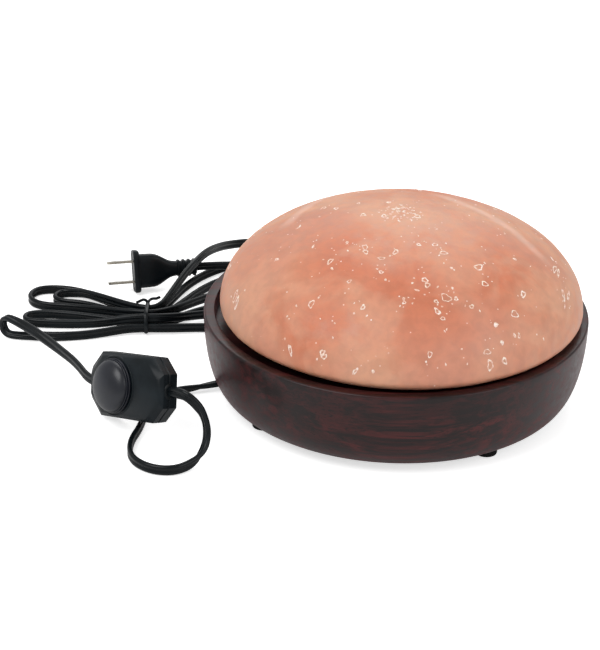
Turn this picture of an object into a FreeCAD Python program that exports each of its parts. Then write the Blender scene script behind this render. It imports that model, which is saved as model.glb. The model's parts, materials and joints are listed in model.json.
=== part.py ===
import FreeCAD, Part
import math
import os

import Sketcher
from FreeCAD import Placement, Rotation, Vector

# Salt crystal lamp: a hollow-turned dome of rock salt that rests in a shallow wooden bowl, a
# candelabra bulb under it, and a black cord set with an inline rotary dimmer and a two-blade
# plug. Millimetres, +Z up, the origin on the floor under the middle of the base.

DOCUMENT = FreeCAD.newDocument("SaltLamp")

SIZES = [
    # base
    ("rim_radius", 106.4, "outer radius of the bowl at its rim"),
    ("rim_height", 50.5, "top of the rim above the floor"),
    ("rim_width", 6.1, "flat ring between the rim's edge and the recess"),
    ("sole_radius", 91.8, "radius of the flat underside"),
    ("foot_height", 5.0, "height of the rubber feet"),
    ("recess_depth", 8.0, "from the rim down to the ledge that carries the salt"),
    ("recess_draft", 1.0, "how much the recess narrows on its way down"),
    ("pocket_radius", 61.0, "radius of the well round the lamp holder"),
    ("floor_thickness", 14.0, "wood left under the well"),
    ("holder_hole_radius", 17.0, "hole for the lamp holder"),
    ("counterbore_radius", 38.0, "recess for the holder plate, from below"),
    ("counterbore_depth", 4.0, "its depth"),
    ("groove_width", 7.5, "cord groove in the underside"),
    ("groove_depth", 3.2, "its depth"),
    ("cord_angle", 3.33, "turn of the cord groove from the X axis, in degrees"),
    ("edge_bevel", 0.8, "bevel of the rim's and the ledge's edges"),
    # feet
    ("foot_radius", 6.4, "top radius of a foot"),
    ("foot_draft", 0.4, "how much a foot narrows to the floor"),
    ("foot_circle", 86.0, "distance of the feet from the middle"),
    ("foot_first_angle", 33.0, "direction of the first foot, in degrees"),
    ("foot_count", 4, "number of feet"),
    ("screw_radius", 1.5, "shank of the wood screws"),
    ("screw_length", 9.0, "how deep they go into the wood"),
    ("screw_head_radius", 3.0, "head of the wood screws"),
    ("screw_head_height", 1.6, "its height"),
    ("pilot_clearance", 0.05, "room round a shank or in a bore"),
    # salt dome
    ("dome_radius", 100.15, "widest radius of the dome"),
    ("dome_rise", 52.1, "from the widest place to the top"),
    ("dome_belly", 18.7, "semi-height of the rounded lower part"),
    ("dome_seat_drop", 13.1, "from the widest place down to the flat seat"),
    ("dome_nib", 0.6, "radius of the small flat that the lathe leaves at the top"),
    ("dome_shift_x", 2.6, "the dome stands a little off the middle"),
    ("dome_shift_y", -1.2, "and towards the front"),
    ("dome_cavity_radius", 32.0, "bored hole for the bulb"),
    ("dome_cavity_height", 48.0, "its depth from the seat"),
    ("dome_cavity_cone", 14.0, "height of the cone at the end of the bore"),
    # lamp holder
    ("plate_radius", 36.5, "steel plate under the lamp holder"),
    ("plate_thickness", 1.2, "its thickness"),
    ("plate_hole_radius", 6.0, "hole for the wires"),
    ("plate_screw_circle", 28.0, "distance of its screws from the middle"),
    ("plate_screw_count", 3, "number of its screws"),
    ("cap_radius", 15.0, "wiring cap under the plate"),
    ("cap_height", 5.6, "its height"),
    ("cap_wall", 1.4, "its wall"),
    ("spout_radius", 3.4, "spout that takes the cord"),
    ("spout_length", 6.0, "its length beyond the cap"),
    ("holder_flange_radius", 14.5, "flange of the moulded lamp holder"),
    ("holder_flange_height", 3.0, "its height"),
    ("holder_radius", 10.4, "barrel of the lamp holder"),
    ("holder_height", 33.0, "overall height above the plate"),
    ("holder_floor", 10.0, "solid foot under the screw shell"),
    ("shell_wall", 0.6, "wall of the brass screw shell"),
    ("shell_height", 20.0, "its height"),
    ("contact_radius", 3.6, "centre contact"),
    ("contact_height", 2.4, "its height"),
    # bulb
    ("bulb_cap_radius", 6.05, "candelabra screw cap"),
    ("bulb_cap_height", 16.0, "its height"),
    ("bulb_cap_wall", 0.4, "its wall"),
    ("bulb_fit", 0.07, "room between the cap and the screw shell"),
    ("bulb_gap", 0.3, "room between the bulb's tip and the centre contact"),
    ("bulb_tip_radius", 2.2, "solder tip"),
    ("bulb_tip_height", 0.9, "its height"),
    ("bulb_insulator_height", 1.8, "black glass between the tip and the cap"),
    ("glass_radius", 11.0, "widest radius of the glass"),
    ("glass_length", 44.0, "from the cap to the round end"),
    ("glass_shoulder", 9.0, "height of the sloping shoulder"),
    ("glass_neck_radius", 5.3, "neck that is cemented into the cap"),
    ("glass_clearance", 0.6, "from the lamp holder's rim up to the shoulder"),
    ("glass_neck_depth", 4.0, "how far the neck goes into the cap"),
    ("glass_wall", 0.7, "glass thickness"),
    ("stem_radius", 1.8, "glass stem inside"),
    ("stem_height", 20.0, "its height"),
    ("filament_span", 5.0, "distance from the middle to a lead wire's end"),
    ("filament_rise", 9.0, "height of the lead wires above the stem"),
    ("filament_wire", 0.25, "radius of the wires"),
    # cord
    ("cord_radius", 2.4, "tube with the section of the flat twin cord"),
    ("groove_reach", 86.15, "distance from the middle at which the cord leaves its clip"),
    ("cord_exit_height", 5.0, "height of the cord where it leaves the base"),
    ("cord_end_inset", 11.5, "the cord's inner end, from the middle"),
    ("clip_length", 8.0, "nylon clip, along the cord"),
    ("clip_wall", 1.6, "its thickness"),
    ("clip_ear", 7.0, "each ear, across the cord"),
    # dimmer
    ("dimmer_length", 62.0, "housing, along the cord"),
    ("dimmer_width", 35.0, "its width"),
    ("dimmer_half", 6.5, "height of each half"),
    ("dimmer_corner", 8.5, "cut of its four corners"),
    ("dimmer_bevel", 1.2, "bevel round its faces"),
    ("dimmer_wall", 1.8, "its wall"),
    ("knob_shift", -7.6, "knob axis from the middle of the housing"),
    ("knob_radius", 15.0, "knob"),
    ("knob_skirt", 3.0, "its straight skirt"),
    ("knob_dome", 5.6, "its domed top"),
    ("knob_wall", 1.6, "its wall"),
    ("knob_step_width", 2.2, "rounded step between the skirt and the dome"),
    ("knob_step_height", 1.2, "its height"),
    ("knob_roof", 0.6, "height of the hollow above the skirt"),
    ("knob_gap", 0.4, "between the knob and the housing"),
    ("shaft_radius", 3.0, "shaft under the knob"),
    ("shaft_fit", 0.05, "running room round the shaft"),
    ("bushing_radius", 3.6, "threaded bushing of the potentiometer"),
    ("bushing_rise", 2.2, "bushing above the housing"),
    ("pot_radius", 8.0, "potentiometer"),
    ("pot_depth", 7.4, "its depth"),
    ("nut_radius", 5.4, "nut that holds it, half its width over corners"),
    ("nut_height", 1.8, "its height"),
    ("board_length", 44.0, "circuit board"),
    ("board_width", 27.0, "its width"),
    ("board_thickness", 1.4, "its thickness"),
    ("board_gap", 0.1, "air between the pieces inside the housing"),
    ("triac_length", 4.5, "triac, along the board"),
    ("triac_width", 10.0, "its width"),
    ("triac_height", 6.0, "its height"),
    ("triac_x", 3.5, "its corner, along the board from the middle"),
    ("triac_y", -11.0, "and across it"),
    ("capacitor_length", 11.0, "capacitor, along the board"),
    ("capacitor_width", 6.0, "its width"),
    ("capacitor_height", 6.5, "its height"),
    ("capacitor_x", 9.5, "its corner, along the board from the middle"),
    ("capacitor_y", 4.0, "and across it"),
    ("choke_radius", 3.8, "choke"),
    ("choke_height", 5.5, "its height"),
    ("choke_x", 15.0, "its middle, along the board"),
    ("choke_y", -6.0, "and across it"),
    ("boss_radius", 2.8, "screw posts of the housing"),
    ("boss_x", 25.4, "their place along the housing"),
    ("boss_y", 9.8, "and across it"),
    ("case_screw_radius", 1.1, "housing screws"),
    ("case_screw_head", 2.1, "radius of their heads"),
    ("case_screw_sink", 2.0, "depth of the heads' recesses"),
    # plug
    ("plug_length", 40.0, "from the contact face to the end of the strain relief"),
    ("flange_depth", 3.4, "rim round the contact face"),
    ("flange_height", 26.4, "long side of the contact face"),
    ("flange_width", 15.0, "its short side"),
    ("plug_height", 20.6, "grip behind the rim"),
    ("plug_width", 12.6, "its thickness"),
    ("plug_straight", 13.0, "where the grip begins to narrow"),
    ("plug_neck", 25.5, "where the strain relief begins"),
    ("neck_height", 9.6, "height of the neck"),
    ("neck_width", 8.4, "its thickness"),
    ("rib_count", 4, "ribs of the strain relief"),
    ("rib_length", 1.8, "each rib, along the cord"),
    ("rib_pitch", 3.3, "from rib to rib"),
    ("rib_rise", 0.9, "how far the ribs stand out"),
    ("blade_spacing", 12.7, "distance of the two blades"),
    ("blade_length", 15.9, "blade outside the plug"),
    ("blade_root", 8.0, "blade inside the plug"),
    ("blade_width", 6.35, "blade"),
    ("blade_thickness", 1.5, "its thickness"),
    ("blade_tip_cut", 1.2, "bevel of its tip's corners"),
    ("blade_hole_radius", 1.6, "hole in a blade"),
    ("blade_hole_inset", 4.4, "hole's middle from the tip"),
    # hank
    ("strand_step", 5.6, "spacing of the strands where they are tied"),
    ("waist_x", -144.5, "place of the tie"),
    ("waist_y", 62.5, "first strand at the tie"),
    ("waist_height", 4.1, "lower row of strands at the tie"),
    ("waist_half", 5.5, "half the straight length at the tie"),
    ("tie_radius", 0.8, "tie wire"),
    ("tie_clearance", 0.05, "between the tie and the strands"),
]


class Size:
    """A length with its value, and the formula by which the spreadsheet's cells give it."""

    def __init__(self, value, formula):
        self.value = float(value)
        self.formula = formula

    def _with(self, other, sign, value):
        text = other.formula if isinstance(other, Size) else repr(float(other))
        return Size(value, "(%s %s %s)" % (self.formula, sign, text))

    def __add__(self, other):
        return self._with(other, "+", self.value + number(other))

    def __sub__(self, other):
        return self._with(other, "-", self.value - number(other))

    def __mul__(self, other):
        return self._with(other, "*", self.value * number(other))

    def __truediv__(self, other):
        return self._with(other, "/", self.value / number(other))

    def __neg__(self):
        return Size(-self.value, "(0 - %s)" % self.formula)


def number(size):
    """The plain value of a size or of a number."""
    return size.value if isinstance(size, Size) else float(size)


def formula(size):
    """What an expression holds for a size or for a number."""
    return size.formula if isinstance(size, Size) else repr(float(size))


class Sizes:
    """The driving dimensions, kept in a spreadsheet and read by name."""

    def __init__(self, rows):
        sheet = DOCUMENT.addObject("Spreadsheet::Sheet", "Sizes")
        for row, (name, value, note) in enumerate(rows, start=1):
            sheet.set("A%d" % row, name)
            sheet.set("B%d" % row, repr(value))
            sheet.set("C%d" % row, note)
            sheet.setAlias("B%d" % row, name)
            setattr(self, name, Size(value, "Sizes." + name))


S = Sizes(SIZES)
DOCUMENT.recompute()
PIECES = {}
ZERO = Size(0, "0")


# --- sketches and features ---------------------------------------------------------------------


def new_body(name, place=None):
    """One sub-part as a body, named after its file and set at its place."""
    body = DOCUMENT.addObject("PartDesign::Body", name)
    body.Label = name
    body.AllowCompound = True
    body.Placement = place if place is not None else Placement()
    PIECES[name] = body
    return body


def bind_place(piece, x=ZERO, y=ZERO, z=ZERO):
    """Moves a piece to a place that the spreadsheet gives."""
    turn = piece.Placement.Rotation
    piece.Placement = Placement(Vector(number(x), number(y), number(z)), turn)
    for axis, size in (("x", x), ("y", y), ("z", z)):
        piece.setExpression("Placement.Base." + axis, formula(size))


def origin_plane(body, role):
    """One of the body's own three planes."""
    return next(item for item in body.Origin.OriginFeatures if item.Role == role)


def new_sketch(body, role, offset=None):
    """A sketch on one of the body's planes, moved along its normal by a size."""
    sketch = body.newObject("Sketcher::SketchObject", body.Name + "_sketch")
    sketch.AttachmentSupport = [(origin_plane(body, role), "")]
    sketch.MapMode = "FlatFace"
    if offset is not None:
        sketch.AttachmentOffset = Placement(Vector(0, 0, number(offset)), Rotation())
        sketch.setExpression("AttachmentOffset.Base.z", formula(offset))
    return sketch


def hold(sketch, kind, *target, size):
    """A driven dimension of a sketch."""
    index = sketch.addConstraint(Sketcher.Constraint(kind, *target, number(size)))
    if isinstance(size, Size):
        sketch.setExpression("Constraints[%d]" % index, size.formula)


def arc_middle(start, end, radius, left):
    """A point halfway along the arc from start to end that bulges to the left or right."""
    chord = end - start
    half = chord.Length / 2
    side = Vector(-chord.y, chord.x, 0).normalize() * (1 if left else -1)
    rise = radius - math.sqrt(max(radius * radius - half * half, 0))
    return start + chord / 2 + side * rise


def outline(sketch, corners, curves=None):
    """A closed outline through corners, each an (x, y) pair of sizes. Its sides are lines, or
    where curves names one, ("arc", radius, bulges_left) or ("oval", centre)."""
    curves = curves or {}
    points = [Vector(number(x), number(y), 0) for x, y in corners]
    first = sketch.GeometryCount
    sides = []
    for index, start in enumerate(points):
        end = points[(index + 1) % len(points)]
        curve = curves.get(index)
        if curve is None:
            sides.append((sketch.addGeometry(Part.LineSegment(start, end), False), 1, 2))
        elif curve[0] == "arc":
            middle = arc_middle(start, end, number(curve[1]), curve[2])
            arc = Part.Arc(start, middle, end)
            side = sketch.addGeometry(arc, False)
            forward = (sketch.getPoint(side, 1) - start).Length < 1e-6
            sides.append((side, 1, 2) if forward else (side, 2, 1))
        else:
            sides.append(add_oval(sketch, start, end, curve[1]))
    for index, (side, begin, _) in enumerate(sides):
        before, _, last = sides[index - 1]
        sketch.addConstraint(Sketcher.Constraint("Coincident", before, last, side, begin))
        x, y = corners[index]
        hold(sketch, "DistanceX", -1, 1, side, begin, size=x)
        hold(sketch, "DistanceY", -1, 1, side, begin, size=y)
        curve = curves.get(index)
        if curve is not None and curve[0] == "arc":
            hold(sketch, "Radius", side, size=curve[1])
    return first


def add_oval(sketch, start, end, centre):
    """A quarter of an ellipse, or less, whose axes are parallel to the sketch's."""
    middle = Vector(number(centre[0]), number(centre[1]), 0)
    first, last = start - middle, end - middle
    across, up = oval_axes(first, last)
    major = Vector(across, 0, 0) if across > up else Vector(0, up, 0)
    minor = Vector(0, up, 0) if across > up else Vector(-across, 0, 0)
    ellipse = Part.Ellipse(middle + major, middle + minor, middle)
    angles = [ellipse.parameter(point) for point in (start, end)]
    forward = (angles[1] - angles[0]) % (2 * math.pi) < math.pi
    if not forward:
        angles.reverse()
    side = sketch.addGeometry(Part.ArcOfEllipse(ellipse, *angles), False)
    sketch.exposeInternalGeometry(side)
    hold(sketch, "DistanceX", -1, 1, side, 3, size=centre[0])
    hold(sketch, "DistanceY", -1, 1, side, 3, size=centre[1])
    sketch.addConstraint(Sketcher.Constraint("Horizontal" if across > up else "Vertical", side + 1))
    return (side, 1, 2) if forward else (side, 2, 1)


def oval_axes(first, last):
    """The two semi-axes of the ellipse round the origin through two points."""
    determinant = (first.x * last.y) ** 2 - (last.x * first.y) ** 2
    across = math.sqrt(determinant / (last.y**2 - first.y**2))
    up = math.sqrt(determinant / (first.x**2 - last.x**2))
    return across, up


def circle(sketch, x, y, radius):
    """A circle that the sizes place."""
    centre = Vector(number(x), number(y), 0)
    round_ = sketch.addGeometry(Part.Circle(centre, Vector(0, 0, 1), number(radius)), False)
    hold(sketch, "DistanceX", -1, 1, round_, 3, size=x)
    hold(sketch, "DistanceY", -1, 1, round_, 3, size=y)
    hold(sketch, "Radius", round_, size=radius)


def rectangle(sketch, left, right, bottom, top):
    """An upright rectangle between four sizes."""
    outline(sketch, [(left, bottom), (right, bottom), (right, top), (left, top)])


def feature(body, kind, sketch, **settings):
    """A PartDesign feature on a sketch."""
    item = body.newObject("PartDesign::" + kind, body.Name + "_" + kind.lower())
    item.Profile = sketch
    for name, value in settings.items():
        if isinstance(value, Size):
            setattr(item, name, value.value)
            item.setExpression(name, value.formula)
        else:
            setattr(item, name, value)
    body.Tip = item
    DOCUMENT.recompute()
    return item


def revolve(body, corners, curves=None, cut=False):
    """Turns an outline in the XZ plane about the Z axis, as a solid or as a cut."""
    sketch = new_sketch(body, "XZ_Plane")
    outline(sketch, corners, curves)
    kind = "Groove" if cut else "Revolution"
    return feature(body, kind, sketch, ReferenceAxis=(sketch, ["V_Axis"]), Angle=360.0)


def pad(body, sketch, length, **settings):
    return feature(body, "Pad", sketch, Length=length, **settings)


def pocket(body, sketch, length, **settings):
    """Cuts and makes sure that something was cut away."""
    before = body.Shape.Volume
    item = feature(body, "Pocket", sketch, Length=length, **settings)
    if not body.Shape.Volume < before - 1e-6:
        raise RuntimeError(body.Name + ": a pocket cuts nothing")
    return item


def polar(body, features, count):
    """Repeats features round the body's Z axis."""
    axis = next(item for item in body.Origin.OriginFeatures if item.Role == "Z_Axis")
    pattern = body.newObject("PartDesign::PolarPattern", body.Name + "_pattern")
    pattern.Originals = features
    pattern.Axis = (axis, [""])
    pattern.Angle = 360.0
    pattern.setExpression("Occurrences", formula(count))
    body.Tip = pattern
    DOCUMENT.recompute()
    return pattern


def dress(body, kind, size, wanted):
    """A fillet or chamfer on the edges of the tip for which wanted is true."""
    base = body.Tip
    names = []
    for index, edge in enumerate(base.Shape.Edges, start=1):
        if wanted(edge):
            names.append("Edge%d" % index)
    item = body.newObject("PartDesign::" + kind, body.Name + "_" + kind.lower())
    item.Base = (base, names)
    name = "Radius" if kind == "Fillet" else "Size"
    setattr(item, name, number(size))
    item.setExpression(name, formula(size))
    body.Tip = item
    DOCUMENT.recompute()
    return item


def ring_edge(radius, height):
    """Picks the round edges of one radius at one height."""

    def wanted(edge):
        curve = edge.Curve
        is_ring = isinstance(curve, Part.Circle) and abs(curve.Radius - number(radius)) < 1e-3
        return is_ring and abs(curve.Center.z - number(height)) < 1e-3

    return wanted


# --- base --------------------------------------------------------------------------------------

LEDGE_HEIGHT = S.rim_height - S.recess_depth
PLATE_TOP = S.foot_height + S.counterbore_depth
WELL_FLOOR = S.foot_height + S.floor_thickness
RECESS_RADIUS = S.rim_radius - S.rim_width


def make_wood_base():
    """The turned bowl: recess and ledge for the salt, well, holes and cord groove."""
    body = new_body("wood_base", Placement(Vector(), Rotation(S.cord_angle.value, 0, 0)))
    body.setExpression("Placement.Rotation.Angle", S.cord_angle.formula)
    ledge_radius = RECESS_RADIUS - S.recess_draft
    revolve(
        body,
        [
            (S.counterbore_radius, S.foot_height),
            (S.sole_radius, S.foot_height),
            (S.rim_radius, S.rim_height),
            (RECESS_RADIUS, S.rim_height),
            (ledge_radius, LEDGE_HEIGHT),
            (S.pocket_radius, LEDGE_HEIGHT),
            (S.pocket_radius, WELL_FLOOR),
            (S.holder_hole_radius, WELL_FLOOR),
            (S.holder_hole_radius, PLATE_TOP),
            (S.counterbore_radius, PLATE_TOP),
        ],
        {1: ("oval", (S.sole_radius, S.rim_height))},
    )
    dress(body, "Chamfer", S.edge_bevel, ring_edge(S.rim_radius, S.rim_height))
    dress(body, "Chamfer", S.edge_bevel, ring_edge(RECESS_RADIUS, S.rim_height))
    dress(body, "Chamfer", S.edge_bevel, ring_edge(S.pocket_radius, LEDGE_HEIGHT))
    groove = new_sketch(body, "XY_Plane", S.foot_height + S.groove_depth)
    half = S.groove_width / 2
    rectangle(groove, -S.rim_radius, -S.counterbore_radius + 1, -half, half)
    pocket(body, groove, S.foot_height + S.groove_depth)
    pilot = S.screw_radius + S.pilot_clearance
    for circle_radius, count, turn, floor in pilot_groups():
        holes = new_sketch(body, "XY_Plane", floor + S.screw_length)
        spot = polar_point(circle_radius, turn)
        circle(holes, spot[0], spot[1], pilot)
        cut = pocket(body, holes, S.screw_length)
        polar(body, [cut], count)
    clip_holes(body, pilot)


def pilot_groups():
    """Screw circles in the underside: radius, count, first direction, height of the surface."""
    foot_turn = S.foot_first_angle - S.cord_angle
    return (
        (S.foot_circle, S.foot_count, foot_turn, S.foot_height),
        (S.plate_screw_circle, S.plate_screw_count, ZERO, PLATE_TOP),
    )


def polar_point(radius, turn):
    """The place at a radius and direction from the middle, as two sizes."""
    angle = math.radians(turn.value)
    x = Size(radius.value * math.cos(angle), "%s * cos(%s)" % (radius.formula, turn.formula))
    y = Size(radius.value * math.sin(angle), "%s * sin(%s)" % (radius.formula, turn.formula))
    return x, y


def clip_holes(body, pilot):
    """Pilot holes for the two screws of the cord clip."""
    holes = new_sketch(body, "XY_Plane", S.foot_height + S.screw_length)
    for side in (-1, 1):
        circle(holes, -CLIP_MIDDLE, CLIP_SCREW_Y * side, pilot)
    pocket(body, holes, S.screw_length)


def make_feet():
    """Four rubber feet, each with a counterbored hole for its screw."""
    names = ("rear_right", "rear_left", "front_left", "front_right")
    sole = S.foot_radius - S.foot_draft
    head = S.screw_head_radius + 0.6
    hole = S.screw_radius + S.pilot_clearance
    for index in range(int(S.foot_count.value)):
        name = names[index] if index < len(names) else str(index + 1)
        body = new_body("foot_" + name)
        revolve(
            body,
            [
                (head, ZERO),
                (sole, ZERO),
                (S.foot_radius, S.foot_height),
                (hole, S.foot_height),
                (hole, FOOT_SCREW_SEAT),
                (head, FOOT_SCREW_SEAT),
            ],
        )
        x, y = polar_point(S.foot_circle, S.foot_first_angle + index * 360 / S.foot_count.value)
        bind_place(body, x, y)


FOOT_SCREW_SEAT = S.screw_head_height + 1.0
CLIP_MIDDLE = S.groove_reach - S.clip_length / 2
CLIP_SCREW_Y = S.cord_radius + S.clip_wall + S.clip_ear / 2


def screw_group(name, centres, seat, top, turn=ZERO, count=None):
    """Wood screws with flat heads below seat and shanks up to top, as separate solids."""
    body = new_body(name, Placement(Vector(), Rotation(turn.value, 0, 0)))
    if turn is not ZERO:
        body.setExpression("Placement.Rotation.Angle", turn.formula)
    heads = new_sketch(body, "XY_Plane", seat - S.screw_head_height)
    shanks = new_sketch(body, "XY_Plane", seat)
    for x, y in centres:
        circle(heads, x, y, S.screw_head_radius)
        circle(shanks, x, y, S.screw_radius)
    parts = [pad(body, heads, S.screw_head_height), pad(body, shanks, top - seat)]
    if count is not None:
        polar(body, parts, count)
    return body


# --- salt dome ---------------------------------------------------------------------------------


def oval_radius(across, up, drop):
    """How far an oval reaches at a distance from its middle, along its other axis."""
    value = across.value * math.sqrt(1 - (drop.value / up.value) ** 2)
    return Size(value, "%s * sqrt(1 - (%s / %s) ^ 2)" % (across.formula, drop.formula, up.formula))


def make_salt_dome():
    """Two half ovals on a flat seat, bored from below for the bulb."""
    body = new_body("salt_dome")
    drop = S.dome_seat_drop
    seat_radius = oval_radius(S.dome_radius, S.dome_belly, drop)
    bore = S.dome_cavity_radius
    depth = S.dome_cavity_height
    cone = S.dome_cavity_cone
    nib = S.dome_nib
    nib_rise = oval_radius(S.dome_rise, S.dome_radius, nib)
    revolve(
        body,
        [
            (bore, ZERO),
            (seat_radius, ZERO),
            (S.dome_radius, drop),
            (nib, drop + nib_rise),
            (ZERO, drop + nib_rise),
            (ZERO, depth),
            (bore - cone, depth),
            (bore, depth - cone),
        ],
        {1: ("oval", (ZERO, drop)), 2: ("oval", (ZERO, drop))},
    )
    bind_place(body, S.dome_shift_x, S.dome_shift_y, LEDGE_HEIGHT)


# --- lamp holder -------------------------------------------------------------------------------

PLATE_BOTTOM = PLATE_TOP - S.plate_thickness
CAP_BOTTOM = PLATE_BOTTOM - S.cap_height
SHELL_INNER = S.bulb_cap_radius + S.bulb_fit
SHELL_OUTER = SHELL_INNER + S.shell_wall
SHELL_FLOOR = PLATE_TOP + S.holder_floor


def make_holder_plate():
    """Steel disc screwed into the counterbore, with a hole for the wires."""
    body = new_body("holder_plate")
    disc = new_sketch(body, "XY_Plane", PLATE_BOTTOM)
    circle(disc, ZERO, ZERO, S.plate_radius)
    circle(disc, ZERO, ZERO, S.plate_hole_radius)
    x, y = polar_point(S.plate_screw_circle, S.cord_angle)
    pad(body, disc, S.plate_thickness)
    holes = new_sketch(body, "XY_Plane", PLATE_TOP)
    circle(holes, x, y, S.screw_radius + S.pilot_clearance)
    cut = pocket(body, holes, S.plate_thickness)
    polar(body, [cut], S.plate_screw_count)


def make_wiring_cap():
    """Moulded cap over the wiring, with a spout that takes the cord."""
    body = new_body("wiring_cap", Placement(Vector(), Rotation(S.cord_angle.value, 0, 0)))
    body.setExpression("Placement.Rotation.Angle", S.cord_angle.formula)
    inner = S.cap_radius - S.cap_wall
    floor = CAP_BOTTOM + S.cap_wall
    revolve(
        body,
        [
            (ZERO, CAP_BOTTOM),
            (S.cap_radius - S.cap_wall, CAP_BOTTOM),
            (S.cap_radius, CAP_BOTTOM + S.cap_wall),
            (S.cap_radius, PLATE_BOTTOM),
            (inner, PLATE_BOTTOM),
            (inner, floor),
            (ZERO, floor),
        ],
    )
    outer_end = S.cap_radius + S.spout_length
    spout = new_sketch(body, "YZ_Plane", -outer_end)
    circle(spout, ZERO, S.cord_exit_height, S.spout_radius - 0.6)
    pad(body, spout, S.spout_length + S.cap_wall / 2)
    bore = new_sketch(body, "YZ_Plane", -(S.cord_end_inset - S.pilot_clearance))
    circle(bore, ZERO, S.cord_exit_height, S.cord_radius + S.pilot_clearance / 2)
    pocket(body, bore, S.spout_length + S.cap_radius)


def make_holder():
    """Moulded lamp holder, its brass screw shell and the centre contact."""
    body = new_body("holder_body")
    top = S.holder_height
    cavity = SHELL_OUTER + S.pilot_clearance
    revolve(
        body,
        [
            (S.plate_hole_radius / 2, ZERO),
            (S.holder_flange_radius, ZERO),
            (S.holder_flange_radius, S.holder_flange_height),
            (S.holder_radius, S.holder_flange_height + 1),
            (S.holder_radius, top),
            (cavity, top),
            (cavity, S.holder_floor),
            (S.plate_hole_radius / 2, S.holder_floor),
        ],
    )
    bind_place(body, z=PLATE_TOP)
    shell = new_body("holder_screw_shell")
    revolve(
        shell,
        [
            (SHELL_INNER, ZERO),
            (SHELL_OUTER, ZERO),
            (SHELL_OUTER, S.shell_height),
            (SHELL_INNER, S.shell_height),
        ],
    )
    bind_place(shell, z=SHELL_FLOOR + 2)
    contact = new_body("holder_contact")
    revolve(
        contact,
        [
            (ZERO, ZERO),
            (S.contact_radius, ZERO),
            (S.contact_radius, S.contact_height / 3),
            (S.contact_radius / 2, S.contact_height),
            (ZERO, S.contact_height),
        ],
    )
    bind_place(contact, z=SHELL_FLOOR)


# --- bulb --------------------------------------------------------------------------------------

BULB_BOTTOM = SHELL_FLOOR + S.contact_height + S.bulb_gap
BULB_CAP_BOTTOM = BULB_BOTTOM + S.bulb_tip_height + S.bulb_insulator_height
BULB_CAP_TOP = BULB_CAP_BOTTOM + S.bulb_cap_height
HOLDER_TOP = PLATE_TOP + S.holder_height


def make_bulb():
    """Candelabra bulb: solder tip, black glass, screw cap, envelope, stem and filament."""
    tip = new_body("bulb_tip")
    disc = new_sketch(tip, "XY_Plane")
    circle(disc, ZERO, ZERO, S.bulb_tip_radius)
    pad(tip, disc, S.bulb_tip_height)
    bind_place(tip, z=BULB_BOTTOM)
    insulator = new_body("bulb_insulator")
    height = S.bulb_insulator_height
    revolve(
        insulator,
        [(ZERO, ZERO), (S.bulb_tip_radius + 0.6, ZERO), (S.bulb_cap_radius - 1, height), (ZERO, height)],
    )
    bind_place(insulator, z=BULB_BOTTOM + S.bulb_tip_height)
    cap = new_body("bulb_screw_cap")
    inside = S.bulb_cap_radius - S.bulb_cap_wall
    revolve(
        cap,
        [
            (S.bulb_cap_radius - 2, ZERO),
            (S.bulb_cap_radius - 0.5, ZERO),
            (S.bulb_cap_radius, Size(0.8, "0.8")),
            (S.bulb_cap_radius, S.bulb_cap_height),
            (inside, S.bulb_cap_height),
            (inside, S.bulb_cap_wall),
            (S.bulb_cap_radius - 2, S.bulb_cap_wall),
        ],
    )
    bind_place(cap, z=BULB_CAP_BOTTOM)
    make_bulb_glass()
    make_bulb_inside()


def make_bulb_glass():
    """The envelope: a tube with a round end, a sloping shoulder and a neck, of even thickness."""
    body = new_body("bulb_glass")
    wall = S.glass_wall
    outer = S.glass_radius
    inner = outer - wall
    neck = S.glass_neck_radius
    rise = HOLDER_TOP + S.glass_clearance - BULB_CAP_TOP
    shoulder = rise + S.glass_shoulder
    end = S.glass_length - outer
    revolve(
        body,
        [
            (neck - wall, -S.glass_neck_depth),
            (neck, -S.glass_neck_depth),
            (neck, rise),
            (outer, shoulder),
            (outer, end),
            (ZERO, end + outer),
            (ZERO, end + inner),
            (inner, end),
            (inner, shoulder),
            (neck - wall, rise + wall),
        ],
        {4: ("arc", outer, False), 6: ("arc", inner, True)},
    )
    bind_place(body, z=BULB_CAP_TOP)


def make_bulb_inside():
    """Glass stem with its flare, and the wires that carry the filament."""
    stem = new_body("bulb_stem")
    base = S.glass_neck_radius - S.glass_wall
    revolve(
        stem,
        [
            (ZERO, ZERO),
            (base - 0.1, ZERO),
            (S.stem_radius, S.stem_height / 3),
            (S.stem_radius, S.stem_height),
            (ZERO, S.stem_height),
        ],
    )
    bind_place(stem, z=BULB_CAP_TOP - S.glass_neck_depth + 1)
    top = BULB_CAP_TOP.value - S.glass_neck_depth.value + 1 + S.stem_height.value
    span = S.filament_span.value
    rise = S.filament_rise.value
    corners = [
        Vector(0, 0, top),
        Vector(span * 0.5, 0, top + rise * 0.35),
        Vector(span, 0, top + rise),
        Vector(0, 0, top + rise * 1.25),
        Vector(-span, 0, top + rise),
        Vector(-span * 0.5, 0, top + rise * 0.35),
        Vector(0, 0.9, top + 0.2),
    ]
    add_tube("bulb_filament", corners, S.filament_wire.value, 4)


# --- tubes along a route -----------------------------------------------------------------------

ARC_SHARE = 0.45


def route_wire(points):
    """Straight runs joined by tangent arcs that take ARC_SHARE of the shorter run."""
    edges = []
    radii = []
    here = points[0]
    for before, corner, after in zip(points, points[1:], points[2:]):
        back = (before - corner).normalize()
        ahead = (after - corner).normalize()
        reach = ARC_SHARE * min((before - corner).Length, (after - corner).Length)
        half_turn = (math.pi - back.getAngle(ahead)) / 2
        radius = reach / math.tan(half_turn)
        start = corner + back * reach
        end = corner + ahead * reach
        inward = (back + ahead).normalize()
        middle = corner + inward * (math.hypot(reach, radius) - radius)
        edges.append(Part.LineSegment(here, start).toShape())
        edges.append(Part.Arc(start, middle, end).toShape())
        radii.append(radius)
        here = end
    edges.append(Part.LineSegment(here, points[-1]).toShape())
    return Part.Wire(edges), radii


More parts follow.
